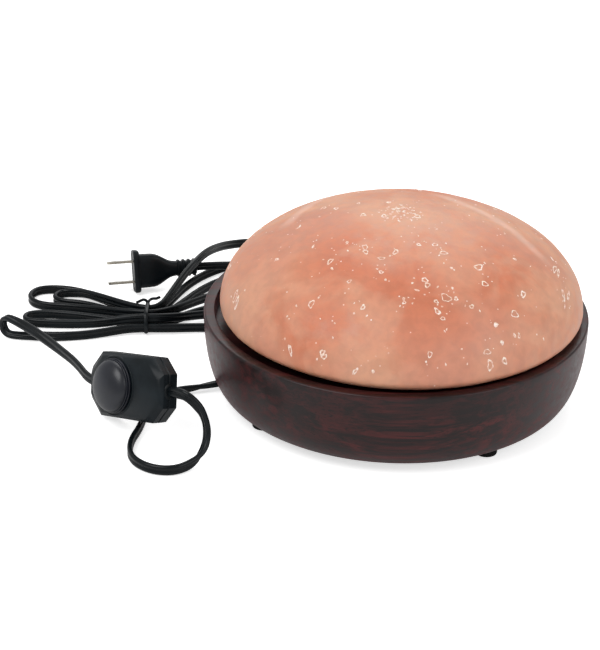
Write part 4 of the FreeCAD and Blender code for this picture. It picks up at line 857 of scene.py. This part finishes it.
class SALTLAMP_OT_dimmer(bpy.types.Operator):
    """Build the inline rotary dimmer: two-part housing, domed knob and cord grips"""

    bl_idname = "salt_lamp.dimmer"
    bl_label = "Dimmer"

    def execute(self, context):
        front, rear = bmesh.new(), bmesh.new()
        for form, sections, softness in ((front, FRONT, 0.45), (rear, REAR, 0.4)):
            loft(form, [housing_loop(*section) for section in sections])
            soften(form, softness)
        collar = turned(rounded(COLLAR), 72)
        collar.transform(Matrix.Translation((KNOB_X, 0, 0)))
        self.join(front, collar)
        self.finish(front, "dimmer_front_moulded", "housing", "dimmer_front_case")
        sinks = bmesh.new()
        for side in (-1, 1):
            spot = Matrix.Translation((SCREW_X * side, SCREW_Y * side, -6.4))
            bmesh.ops.create_cone(
                sinks, cap_ends=True, segments=28, radius1=2.15, radius2=2.15, depth=3.8,
                matrix=spot,
            )
        rear = cut_away(rear, sinks)
        self.finish(rear, "dimmer_rear_moulded", "housing", "dimmer_rear_case")
        self.make_screws()
        self.make_knob()
        self.make_grips()
        return {"FINISHED"}

    @staticmethod
    def finish(form, name, finish, node, body="base", slot="black_plastic"):
        finish_piece(form, name, finish, body, (node,), dimmer_turn())

    @staticmethod
    def join(form, other):
        mesh = bpy.data.meshes.new("joined")
        other.to_mesh(mesh)
        other.free()
        form.from_mesh(mesh)
        bpy.data.meshes.remove(mesh)

    def make_screws(self):
        """Two cross-head screws sunk in the rear half."""
        both = bmesh.new()
        for side in (-1, 1):
            screw = turned(rounded(SCREW), 28, closed=False)
            for turn in (0.4, 0.4 + math.pi / 2):
                slot = bmesh.new()
                spot = Matrix.Translation((0, 0, -6.1)) @ Matrix.Rotation(turn, 4, "Z")
                spot = spot @ Matrix.Diagonal((2.2, 0.5, 1.1, 1))
                bmesh.ops.create_cube(slot, size=1.0, matrix=spot)
                screw = cut_away(screw, slot)
            screw.transform(Matrix.Translation((SCREW_X * side, SCREW_Y * side, 0)))
            self.join(both, screw)
        self.finish(both, "dimmer_case_screws", "steel", "dimmer_screws", slot="steel")

    def make_knob(self):
        """The smooth knob: short skirt, high dome, hollow underneath round its hub."""
        outline = rounded([(13.4, 6.9, 0.2), (15.0, 6.9, 0.3), (15.0, 8.6, 0.5)])
        outline += rounded([(15.0, 8.0, 0), (14.4, 9.3, 0.4), (13.9, 9.2, 0)])[1:-1]
        outline += oval_arc(13.9, 6.3, 0, 90, 22, (0, 9.15)) + [Vector(p) for p in KNOB_HOLLOW]
        knob = turned(outline, 96)
        knob.transform(Matrix.Translation((KNOB_X, 0, 0)))
        self.finish(knob, "dimmer_knob_domed", "knob", "dimmer_knob", "knob", "knob_plastic")

    def make_grips(self):
        """Soft cord grips that fill the oval cord holes at both ends of the housing."""
        for name, side in (("near", 1), ("far", -1)):
            form = bmesh.new()
            sections = [(28.6, 4.2, 3.2), (31.0, 4.2, 3.2), (31.35, 4.0, 3.0), (31.5, 3.6, 2.6)]
            loops = [squared_loop(x * side, w, t, 2.4, 28) for x, w, t in sections]
            turn_flat = Matrix.Rotation(math.pi / 2, 4, "X")
            loft(form, [[turn_flat @ point for point in loop] for loop in loops])
            bmesh.ops.recalc_face_normals(form, faces=form.faces)
            self.finish(form, "dimmer_grip_" + name, "plug", "dimmer_grommet_" + name)


# --- base --------------------------------------------------------------------------------------


BOWL_RADIUS, BOWL_TOP = 106.4, 50.5
RECESS_RADIUS, RECESS_FLOOR = 99.3, 42.5
WELL_RADIUS, WELL_FLOOR = 61, 19
HOLE_RADIUS = 17
UNDERSIDE_RADIUS, UNDERSIDE_TOP = 38, 9
GROOVE_TURN = 3.33
FOOT_CIRCLE, FOOT_TURN = 86, 33
FOOT = [(3.6, 0, 0.3), (6.0, 0, 0.7), (6.4, 5, 0.3), (1.6, 5, 0), (1.6, 2.6, 0), (3.6, 2.6, 0)]


class SALTLAMP_OT_base(bpy.types.Operator):
    """Turn the wooden bowl, with its recess, well and cord groove, and its four feet"""

    bl_idname = "salt_lamp.base"
    bl_label = "Wooden base"

    def execute(self, context):
        edge = context.scene.salt_lamp_sizes.rim_round / MM
        side = oval_arc(14.6, 45.5, -90, -4, 26, (91.8, BOWL_TOP), 0.897)
        rim = [
            (*side[-1], 0), (BOWL_RADIUS, BOWL_TOP, edge), (RECESS_RADIUS + 1, BOWL_TOP, 0.7),
            (RECESS_RADIUS, RECESS_FLOOR, 0.6),
        ]
        well = [
            (RECESS_RADIUS, RECESS_FLOOR, 0), (WELL_RADIUS, RECESS_FLOOR, 0.8),
            (WELL_RADIUS, WELL_FLOOR, 0.8), (HOLE_RADIUS, WELL_FLOOR, 0.4),
            (HOLE_RADIUS, UNDERSIDE_TOP, 0), (UNDERSIDE_RADIUS, UNDERSIDE_TOP, 0),
        ]
        outline = [Vector((UNDERSIDE_RADIUS, 5)), *side, *rounded(rim)[1:], *rounded(well)[1:]]
        bowl = turned(outline, 240)
        groove = bmesh.new()
        spot = Matrix.Translation((-72, 0, 4.1)) @ Matrix.Diagonal((72, 7.5, 8.2, 1))
        bmesh.ops.create_cube(groove, size=1.0, matrix=spot)
        groove.transform(Matrix.Rotation(math.radians(GROOVE_TURN), 4, "Z"))
        bowl = cut_away(bowl, groove)
        finish_piece(bowl, "base_turned_bowl", "wood", "base", ("wood_base",), sharp=32)
        for index, name in enumerate(("rear_right", "rear_left", "front_left", "front_right")):
            angle = math.radians(FOOT_TURN + 90 * index)
            foot = turned(rounded(FOOT), 48)
            spot = Vector((math.cos(angle), math.sin(angle), 0)) * FOOT_CIRCLE
            spot = Matrix.Translation(spot)
            node = "foot_" + name
            finish_piece(foot, node + "_rubber", "rubber", "base", (node,), spot)
        return {"FINISHED"}


# --- salt dome ---------------------------------------------------------------------------------

DOME_MIDDLE = Vector((2.6, -1.2, 42.5))
DOME_WIDEST = 13.1
DOME_RADIUS, DOME_RISE, DOME_DROP = 100.15, 52.1, 18.7
# Pits on the side that faces the room: place from the dome's axis, half width and half length
# in millimetres, and whether the pit is open, with a white edge, or filled.
PITS = [
    (-22.0, -36.0, 1.7, 2.7, 1), (-21.7, -40.1, 1.4, 2.1, 1), (-40.3, -43.2, 1.6, 2.3, 1),
    (-39.3, -49.2, 0.8, 1.3, 0), (-49.2, -26.7, 0.8, 1.9, 0), (-68.4, -26.7, 1.1, 1.7, 0),
    (-56.8, -0.3, 0.7, 1.9, 0), (-31.3, -29.4, 0.8, 1.3, 1), (-7.8, 16.4, 1.8, 1.6, 0),
    (-3.4, 6.3, 1.6, 1.6, 0), (7.0, -4.6, 2.1, 2.1, 1), (6.2, -34.8, 1.1, 1.8, 1),
    (14.8, -34.0, 1.6, 1.5, 1), (-6.1, -41.6, 1.6, 2.3, 1), (-13.7, -46.2, 1.8, 1.3, 1),
    (19.1, -40.5, 2.1, 1.9, 1), (-14.0, -56.5, 1.4, 1.4, 1), (-11.9, -61.7, 0.8, 0.8, 0),
    (-30.5, -60.1, 1.3, 1.2, 1), (1.9, -64.2, 0.7, 0.8, 0), (4.1, -68.4, 1.4, 0.7, 0),
    (8.4, -61.9, 1.8, 1.9, 1), (9.6, -65.0, 1.8, 1.7, 1), (-2.8, -73.5, 0.8, 1.4, 0),
    (-2.6, -75.5, 1.0, 1.2, 1), (19.0, -71.2, 2.4, 2.9, 1), (24.2, -70.9, 1.3, 1.4, 1),
    (13.8, -73.9, 1.4, 1.2, 1), (22.5, -65.1, 0.8, 1.1, 0), (22.5, -51.8, 0.8, 1.1, 0),
    (37.2, -47.1, 2.3, 3.0, 1), (39.8, -57.8, 1.7, 2.1, 1), (14.3, -78.9, 1.3, 2.5, 1),
    (17.0, -81.9, 1.6, 1.0, 1), (32.2, -73.1, 1.3, 1.4, 1), (55.1, -68.2, 2.0, 2.5, 1),
    (44.7, -77.5, 1.6, 1.5, 0), (60.6, -54.6, 1.6, 2.6, 1), (84.3, -35.9, 1.4, 4.1, 1),
    (87.6, -32.1, 1.3, 4.0, 1), (81.0, -19.8, 1.3, 4.5, 1), (83.0, -20.6, 1.0, 4.5, 1),
    (84.5, -42.1, 0.7, 1.8, 0), (80.6, -10.2, 0.7, 2.4, 0), (57.8, -30.9, 1.3, 1.1, 0),
    (-23.6, -76.1, 1.4, 1.7, 1), (-49.9, -67.1, 1.8, 2.3, 1), (-90.5, -31.2, 1.8, 3.8, 1),
    (-89.5, -36.0, 1.6, 3.9, 1), (-44.1, -87.4, 1.4, 1.9, 1), (-43.2, -88.6, 1.7, 1.6, 1),
    (-60.5, -78.5, 1.3, 3.0, 1), (10.2, -95.4, 1.4, 1.7, 1), (-27.3, -95.9, 1.0, 2.5, 1),
    (-18.3, -97.8, 1.0, 1.0, 0), (39.9, -88.3, 2.0, 1.6, 1), (41.7, -90.2, 2.0, 2.9, 1),
    (49.4, -86.1, 1.4, 2.6, 1), (49.9, -86.7, 1.6, 2.9, 1), (47.9, -82.6, 1.0, 1.7, 0),
    (54.7, -77.1, 0.8, 1.6, 0), (57.2, -76.0, 0.8, 1.6, 1), (34.5, -94.0, 1.7, 1.8, 1),
    (23.4, -97.4, 1.7, 2.2, 1), (69.8, -71.7, 1.0, 3.4, 1), (72.3, -69.2, 0.8, 3.3, 1),
]
# What lies within this reach and below this height is the hollow, and below this the seat.
HOLLOW_REACH, HOLLOW_TOP, SEAT_TOP = 70, 93, 46
# The crumbled spot at the top: its middle, its reach and its number of flecks.
CRUMBLED_SPOT, CRUMBLED_REACH, CRUMBLED_FLECKS = (-2, 1), 12, 70
SCATTER_REACH = 96
MARKS_END = 99.8
RIDGE = 0.17


def dome_point(x, y):
    """The place and outward direction on the true dome above a spot in plan."""
    inside = max(0.0, 1 - (x * x + y * y) / DOME_RADIUS**2)
    z = DOME_RISE * math.sqrt(inside)
    out = Vector((x / DOME_RADIUS**2, y / DOME_RADIUS**2, z / DOME_RISE**2)).normalized()
    return DOME_MIDDLE + Vector((x, y, DOME_WIDEST + z)), out


class SALTLAMP_OT_salt(bpy.types.Operator):
    """Carve the hollow dome of rock salt and the white-edged pits in its surface"""

    bl_idname = "salt_lamp.salt"
    bl_label = "Salt dome"

    def execute(self, context):
        sizes = context.scene.salt_lamp_sizes
        dome = self.carve(sizes.salt_unevenness / MM)
        surface = BVHTree.FromBMesh(dome)
        self.make_crust(surface, sizes.extra_marks)
        finish_piece(dome, "salt_dome_carved", "salt", "salt_dome", ("salt_dome",), sharp=40)
        return {"FINISHED"}

    def carve(self, unevenness):
        """The dome on its flat seat, bored from below, with a hand-sanded surface."""
        belly = oval_arc(DOME_RADIUS, DOME_DROP, -44.2, -3, 14, (0, DOME_WIDEST))
        crown = oval_arc(DOME_RADIUS, DOME_RISE, 0, 90, 84, (0, DOME_WIDEST))
        seat = rounded([(18, 48, 0), (32, 34, 0.6), (32, 0, 1.2), (*belly[0], 1.6), (*belly[2], 0)])
        outline = [Vector((0, 48))] + seat[:-1] + belly[2:] + crown
        dome = turned(outline, 300, closed=False)
        dome.transform(Matrix.Translation(DOME_MIDDLE))
        dome.normal_update()
        for vertex in dome.verts:
            place = vertex.co
            out = math.hypot(place.x - DOME_MIDDLE.x, place.y - DOME_MIDDLE.y)
            in_hollow = out < HOLLOW_REACH and place.z < HOLLOW_TOP
            if in_hollow or place.z < SEAT_TOP:
                continue
            broad = noise.noise(place / 34) + 0.5 * noise.noise(place / 11)
            fine = noise.noise(place / 3.6)
            vertex.co = place + vertex.normal * (unevenness * (broad - 0.6) + 0.05 * fine)
        return dome

    def make_crust(self, surface, extra):
        """Pits as rings and dots of white powder that lie on the surface."""
        crust = bmesh.new()
        chance = random.Random(7)
        marks = list(PITS)
        for x, y, wide, _, is_open in PITS:
            for _ in range(chance.randint(1, 4) if is_open else 1):
                marks.append(self.fleck(chance, x, y, wide + chance.uniform(1.2, 4.0)))
        for _ in range(CRUMBLED_FLECKS):
            away = CRUMBLED_REACH * math.sqrt(chance.random())
            marks.append(self.fleck(chance, *CRUMBLED_SPOT, away, 0.32, 0.8))
        while len(marks) < 2 * len(PITS) + extra:
            away = SCATTER_REACH * math.sqrt(chance.random())
            x, y, wide, tall, _ = self.fleck(chance, 0, 0, away, 0.28, 0.6)
            is_open = y > -10 and chance.random() < 0.22
            grown = chance.uniform(2.0, 3.4) if is_open else 1
            marks.append((x, y, wide * grown, tall * grown, is_open))
        for x, y, wide, tall, is_open in marks:
            if math.hypot(x, y) < MARKS_END:
                self.add_mark(crust, surface, chance, x, y, wide, tall, is_open)
        bmesh.ops.recalc_face_normals(crust, faces=crust.faces)
        finish_piece(crust, "salt_pit_edges", "crust", "salt_dome", sharp=80)

    @staticmethod
    def fleck(chance, x, y, away, least=0.25, most=0.6):
        """A small filled mark at a distance from a place, in any direction."""
        angle = chance.uniform(0, FULL_TURN)
        wide = chance.uniform(least, most)
        tall = wide * chance.uniform(0.7, 2.0)
        return x + away * math.cos(angle), y + away * math.sin(angle), wide, tall, 0

    @staticmethod
    def add_mark(crust, surface, chance, x, y, wide, tall, is_open):
        """One pit's edge: an uneven closed ridge, or a small filled blister."""
        place, out = dome_point(x, y)
        across = Vector((1, 0, 0))
        across = (across - out * across.dot(out)).normalized()
        along = out.cross(across)
        sizes = ((2, 0.15), (3, 0.14), (5, 0.1))
        waves = [(number, chance.uniform(0, FULL_TURN), size) for number, size in sizes]
        turn = chance.uniform(-0.6, 0.6)
        sides = 18 if is_open else 9
        verts = bmesh.ops.create_circle(crust, cap_ends=False, segments=sides, radius=1.0)["verts"]
        edges = list({edge for vertex in verts for edge in vertex.link_edges})
        rim = min(0.7, chance.uniform(0.6, 1.05) / wide)
        loops = ((0.8 * RIDGE, 0.6), (RIDGE, 0.1))
        if is_open:
            loops = ((RIDGE, 1 - rim / 2), (0.0, 1 - rim))
        for lift, scale in loops:
            grown = bmesh.ops.extrude_edge_only(crust, edges=edges)["geom"]
            fresh = [item for item in grown if isinstance(item, bmesh.types.BMVert)]
            edges = [item for item in grown if isinstance(item, bmesh.types.BMEdge)]
            edges = [edge for edge in edges if all(end in fresh for end in edge.verts)]
            share = scale / max(vertex.co.xy.length for vertex in fresh)
            bmesh.ops.scale(crust, vec=(share, share, 0), verts=fresh)
            bmesh.ops.translate(crust, vec=(0, 0, lift), verts=fresh)
            verts += fresh
        if not is_open:
            bmesh.ops.contextual_create(crust, geom=edges)
        for vertex in verts:
            lift = vertex.co.z
            angle = math.atan2(vertex.co.y, vertex.co.x)
            uneven = 1 + sum(size * math.sin(n * angle + phase) for n, phase, size in waves)
            u, v = vertex.co.x * wide * uneven, vertex.co.y * tall * uneven
            c, s = math.cos(turn), math.sin(turn)
            u, v = u * c - v * s, u * s + v * c
            on_salt = surface.find_nearest(place + across * u + along * v)[0]
            vertex.co = on_salt + out * (lift - 0.03)


# --- bulb and holder ---------------------------------------------------------------------------


STEM = [
    (0, 37.4, 0), (4.4, 37.4, 0.5), (1.8, 44.1, 3.0), (1.8, 55.1, 0.8), (2.5, 56.5, 0.6),
    (1.2, 57.4, 0.4), (0, 57.4, 0),
]
SUPPORT = ((0.8, 53.0), (0.9, 57.0), (3.6, 61.5), (4.6, 65.9), (4.4, 66.6))
COIL_TURNS, COIL_STEPS, COIL_RADIUS, WIRE_RADIUS = 34, 8, 0.36, 0.08


class SALTLAMP_OT_bulb(bpy.types.Operator):
    """Blow the bulb's glass, with its stem and filament"""

    bl_idname = "salt_lamp.bulb"
    bl_label = "Bulb"

    def execute(self, context):
        outer = [(5.3, 36.4, 0), (5.3, 42.6, 2.0), (11.0, 51.6, 6.0), (11.0, 73.4, 0)]
        inner = [(10.3, 73.4, 0), (10.3, 51.8, 5.5), (4.6, 42.9, 1.6), (4.6, 36.4, 0)]
        outline = rounded(outer, 8) + oval_arc(11.0, 11.0, 4, 90, 20, (0, 73.4))
        outline += oval_arc(10.3, 10.3, 90, 4, 20, (0, 73.4)) + rounded(inner, 8)
        glass = turned(outline, 72)
        finish_piece(glass, "bulb_envelope", "glass", "bulb", ("bulb_glass",), sharp=60)
        stem = turned(rounded(STEM), 40, closed=False)
        finish_piece(stem, "bulb_glass_stem", "glass", "bulb", ("bulb_stem",))
        self.make_filament()
        return {"FINISHED"}

    def make_filament(self):
        """Two bent support wires and the coiled filament between their tips."""
        form = bmesh.new()
        for side in (-1, 1):
            route = [(side * out, 0, up) for out, up in SUPPORT]
            round_tube(form, centre_line("support", route), 0.25, 8)
        coil = []
        count = COIL_TURNS * COIL_STEPS
        for step in range(count + 1):
            share = step / count
            angle = FULL_TURN * COIL_TURNS * share
            sag = 67.6 - 1.2 * (2 * share - 1) ** 2
            y, z = COIL_RADIUS * math.cos(angle), COIL_RADIUS * math.sin(angle)
            coil.append(Vector((-4.5 + 9.0 * share, y, sag + z)))
        round_tube(form, coil, WIRE_RADIUS, 5)
        bmesh.ops.recalc_face_normals(form, faces=form.faces)
        name, node = "bulb_coil_and_supports", "bulb_filament"
        finish_piece(form, name, "tungsten", "bulb", (node,))


BARREL = [
    (3.0, 9.0, 0), (14.5, 9.0, 0.3), (14.5, 12.0, 0.8), (10.4, 13.0, 0.8), (10.4, 30.5, 0.3),
    (10.9, 31.0, 0.3), (10.9, 33.0, 0.3), (10.4, 33.5, 0.3), (10.4, 42.0, 0.7),
    (6.77, 42.0, 0.4), (6.77, 19.0, 0), (3.0, 19.0, 0),
]


class SALTLAMP_OT_holder(bpy.types.Operator):
    """Build the lamp holder's barrel, and finish its screw shell and the other fittings kept from the
    CAD
    """

    bl_idname = "salt_lamp.holder"
    bl_label = "Lamp holder"

    def execute(self, context):
        barrel = turned(rounded(BARREL), 64)
        name, node = "holder_barrel", "holder_body"
        finish_piece(barrel, name, "phenolic", "base", (node,))
        for node, finish in CARRIED_OVER.items():
            carried = frame["nodes"][node]
            carried.data.materials.clear()
            carried.data.materials.append(material_named(finish))
        return {"FINISHED"}


# CAD pieces whose shape is right as it is, and the finish of each.
CARRIED_OVER = {
    "holder_plate": "steel",
    "holder_screw_shell": "brass",
    "holder_contact": "brass",
    "wiring_cap": "phenolic",
    "plate_screws": "steel",
    "foot_screws": "steel",
    "cord_clip": "nylon",
    "cord_clip_screws": "steel",
    "bulb_screw_cap": "brass",
    "bulb_insulator": "black_glass",
    "bulb_tip": "solder",
    "dimmer_board": "board",
    "dimmer_potentiometer": "steel",
    "dimmer_nut": "brass",
    "dimmer_shaft": "steel",
    "dimmer_triac": "phenolic",
    "dimmer_choke": "brass",
    "dimmer_capacitor": "component",
    "plug_blade_upper": "nickel",
    "plug_blade_lower": "nickel",
}


# --- stage -------------------------------------------------------------------------------------

CAMERA_PLACE = (-0.05293, -0.94466, 0.50514)
CAMERA_PITCH = 0.459
CAMERA_ROLL = -0.014
FOCAL_PIXELS = 1889.0
PHOTO_LONG_SIDE = 650.0
SENSOR = 36.0
FLOOR_DROP = 0.0002
LIT_SPOT = (-0.02, 0, 0.04)
# Area lights: place, size in metres and power in watts.
LIGHTS = (
    ("key", (-0.9, -0.7, 1.5), 1.1, 15.0),
    ("fill", (1.2, -0.8, 0.9), 1.0, 6.0),
    ("back", (0.1, 1.2, 1.3), 1.2, 9.0),
)


class SALTLAMP_OT_stage(bpy.types.Operator):
    """Set the camera, the pale floor and the soft studio lights"""

    bl_idname = "salt_lamp.stage"
    bl_label = "Studio"

    def execute(self, context):
        self.make_camera(context)
        self.make_floor(context)
        self.make_lights(context)
        return {"FINISHED"}

    def make_camera(self, context):
        """The camera at the photograph's place, tilt, roll and lens."""
        camera = bpy.data.cameras.new("camera")
        camera.sensor_width = SENSOR
        camera.lens = SENSOR * FOCAL_PIXELS / PHOTO_LONG_SIDE
        camera.clip_start = 0.05
        camera.clip_end = 30.0
        holder = bpy.data.objects.new("camera", camera)
        context.scene.collection.objects.link(holder)
        ahead = Vector((0, math.cos(CAMERA_PITCH), -math.sin(CAMERA_PITCH)))
        right = Vector((1, 0, 0))
        up = right.cross(ahead)
        c, s = math.cos(CAMERA_ROLL), math.sin(CAMERA_ROLL)
        right, up = right * c - up * s, right * s + up * c
        turn = Matrix((right, up, -ahead)).transposed().to_4x4()
        holder.matrix_world = Matrix.Translation(CAMERA_PLACE) @ turn
        context.scene.camera = holder

    def make_floor(self, context):
        """A white floor that shows as paper white and still takes a faint shadow."""
        form = bmesh.new()
        bmesh.ops.create_grid(form, x_segments=2, y_segments=2, size=6.0)
        mesh = bpy.data.meshes.new("floor")
        form.to_mesh(mesh)
        form.free()
        floor = bpy.data.objects.new("floor", mesh)
        floor.location.z = -FLOOR_DROP
        context.scene.collection.objects.link(floor)
        material = bpy.data.materials.new("paper_white_sweep")
        material.use_nodes = True
        tree = material.node_tree
        tree.nodes.clear()
        matt = add_node(tree, "BsdfDiffuse", Color=paint("#f4f4f4"))
        glow = add_node(tree, "Emission", Color=(1, 1, 1, 1), Strength=0.62)
        both = add_node(tree, "AddShader", _0=matt.outputs["BSDF"], _1=glow.outputs["Emission"])
        seen = self.seen_directly(tree)
        mix = add_node(tree, "MixShader", _0=seen, _1=matt.outputs["BSDF"], _2=both.outputs["Shader"])
        add_node(tree, "OutputMaterial", Surface=mix.outputs["Shader"])
        mesh.materials.append(material)

    @staticmethod
    def seen_directly(tree):
        """One for what the camera sees straight or through glass, and zero for the rest."""
        rays = add_node(tree, "LightPath").outputs
        return combine(tree, "MAXIMUM", rays["Is Camera Ray"], rays["Is Transmission Ray"])

    def make_lights(self, context):
        """A soft overcast world, a large key from the upper left and a fill from the right."""
        world = bpy.data.worlds.new("studio")
        world.use_nodes = True
        tree = world.node_tree
        tree.nodes.clear()
        even = add_node(tree, "Background", Color=paint("#ffffff"), Strength=0.55)
        white = add_node(tree, "Background", Color=(1, 1, 1, 1), Strength=1.0)
        seen = self.seen_directly(tree)
        mix = add_node(tree, "MixShader", _0=seen, _1=even.outputs[0], _2=white.outputs[0])
        add_node(tree, "OutputWorld", Surface=mix.outputs["Shader"])
        context.scene.world = world
        for name, place, size, power in LIGHTS:
            light = bpy.data.lights.new(name, "AREA")
            light.size = size
            light.energy = power
            lamp = bpy.data.objects.new(name, light)
            lamp.location = place
            lamp.rotation_mode = "QUATERNION"
            ahead = Vector(LIT_SPOT) - Vector(place)
            lamp.rotation_quaternion = ahead.to_track_quat("-Z", "Y")
            context.scene.collection.objects.link(lamp)
        context.scene.view_settings.view_transform = "Standard"


# --- add-on ------------------------------------------------------------------------------------

STEPS = (
    ("stage", SALTLAMP_OT_stage),
    ("cords", SALTLAMP_OT_cords),
    ("dimmer", SALTLAMP_OT_dimmer),
    ("base", SALTLAMP_OT_base),
    ("salt", SALTLAMP_OT_salt),
    ("bulb", SALTLAMP_OT_bulb),
    ("holder", SALTLAMP_OT_holder),
)


class SALTLAMP_PT_panel(bpy.types.Panel):
    """Lists the lamp's pieces, sizes and colours"""

    bl_idname = "SALTLAMP_PT_panel"
    bl_label = "Salt lamp"
    bl_space_type = "VIEW_3D"
    bl_region_type = "UI"
    bl_category = "Salt lamp"

    def draw(self, context):
        for _, step in STEPS:
            self.layout.operator(step.bl_idname)
        for group in (context.scene.salt_lamp_sizes, context.scene.salt_lamp_colours):
            box = self.layout.box()
            for name in group.__annotations__:
                box.prop(group, name)


CLASSES = (SaltLampColours, SaltLampSizes, *(step for _, step in STEPS), SALTLAMP_PT_panel)


def register():
    for each in CLASSES:
        bpy.utils.register_class(each)
    bpy.types.Scene.salt_lamp_colours = bpy.props.PointerProperty(type=SaltLampColours)
    bpy.types.Scene.salt_lamp_sizes = bpy.props.PointerProperty(type=SaltLampSizes)


def unregister():
    del bpy.types.Scene.salt_lamp_colours
    del bpy.types.Scene.salt_lamp_sizes
    for each in reversed(CLASSES):
        bpy.utils.unregister_class(each)


def main():
    register()
    for name, _ in STEPS:
        getattr(bpy.ops.salt_lamp, name)()
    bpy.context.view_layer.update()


if __name__ == "__main__":
    main()
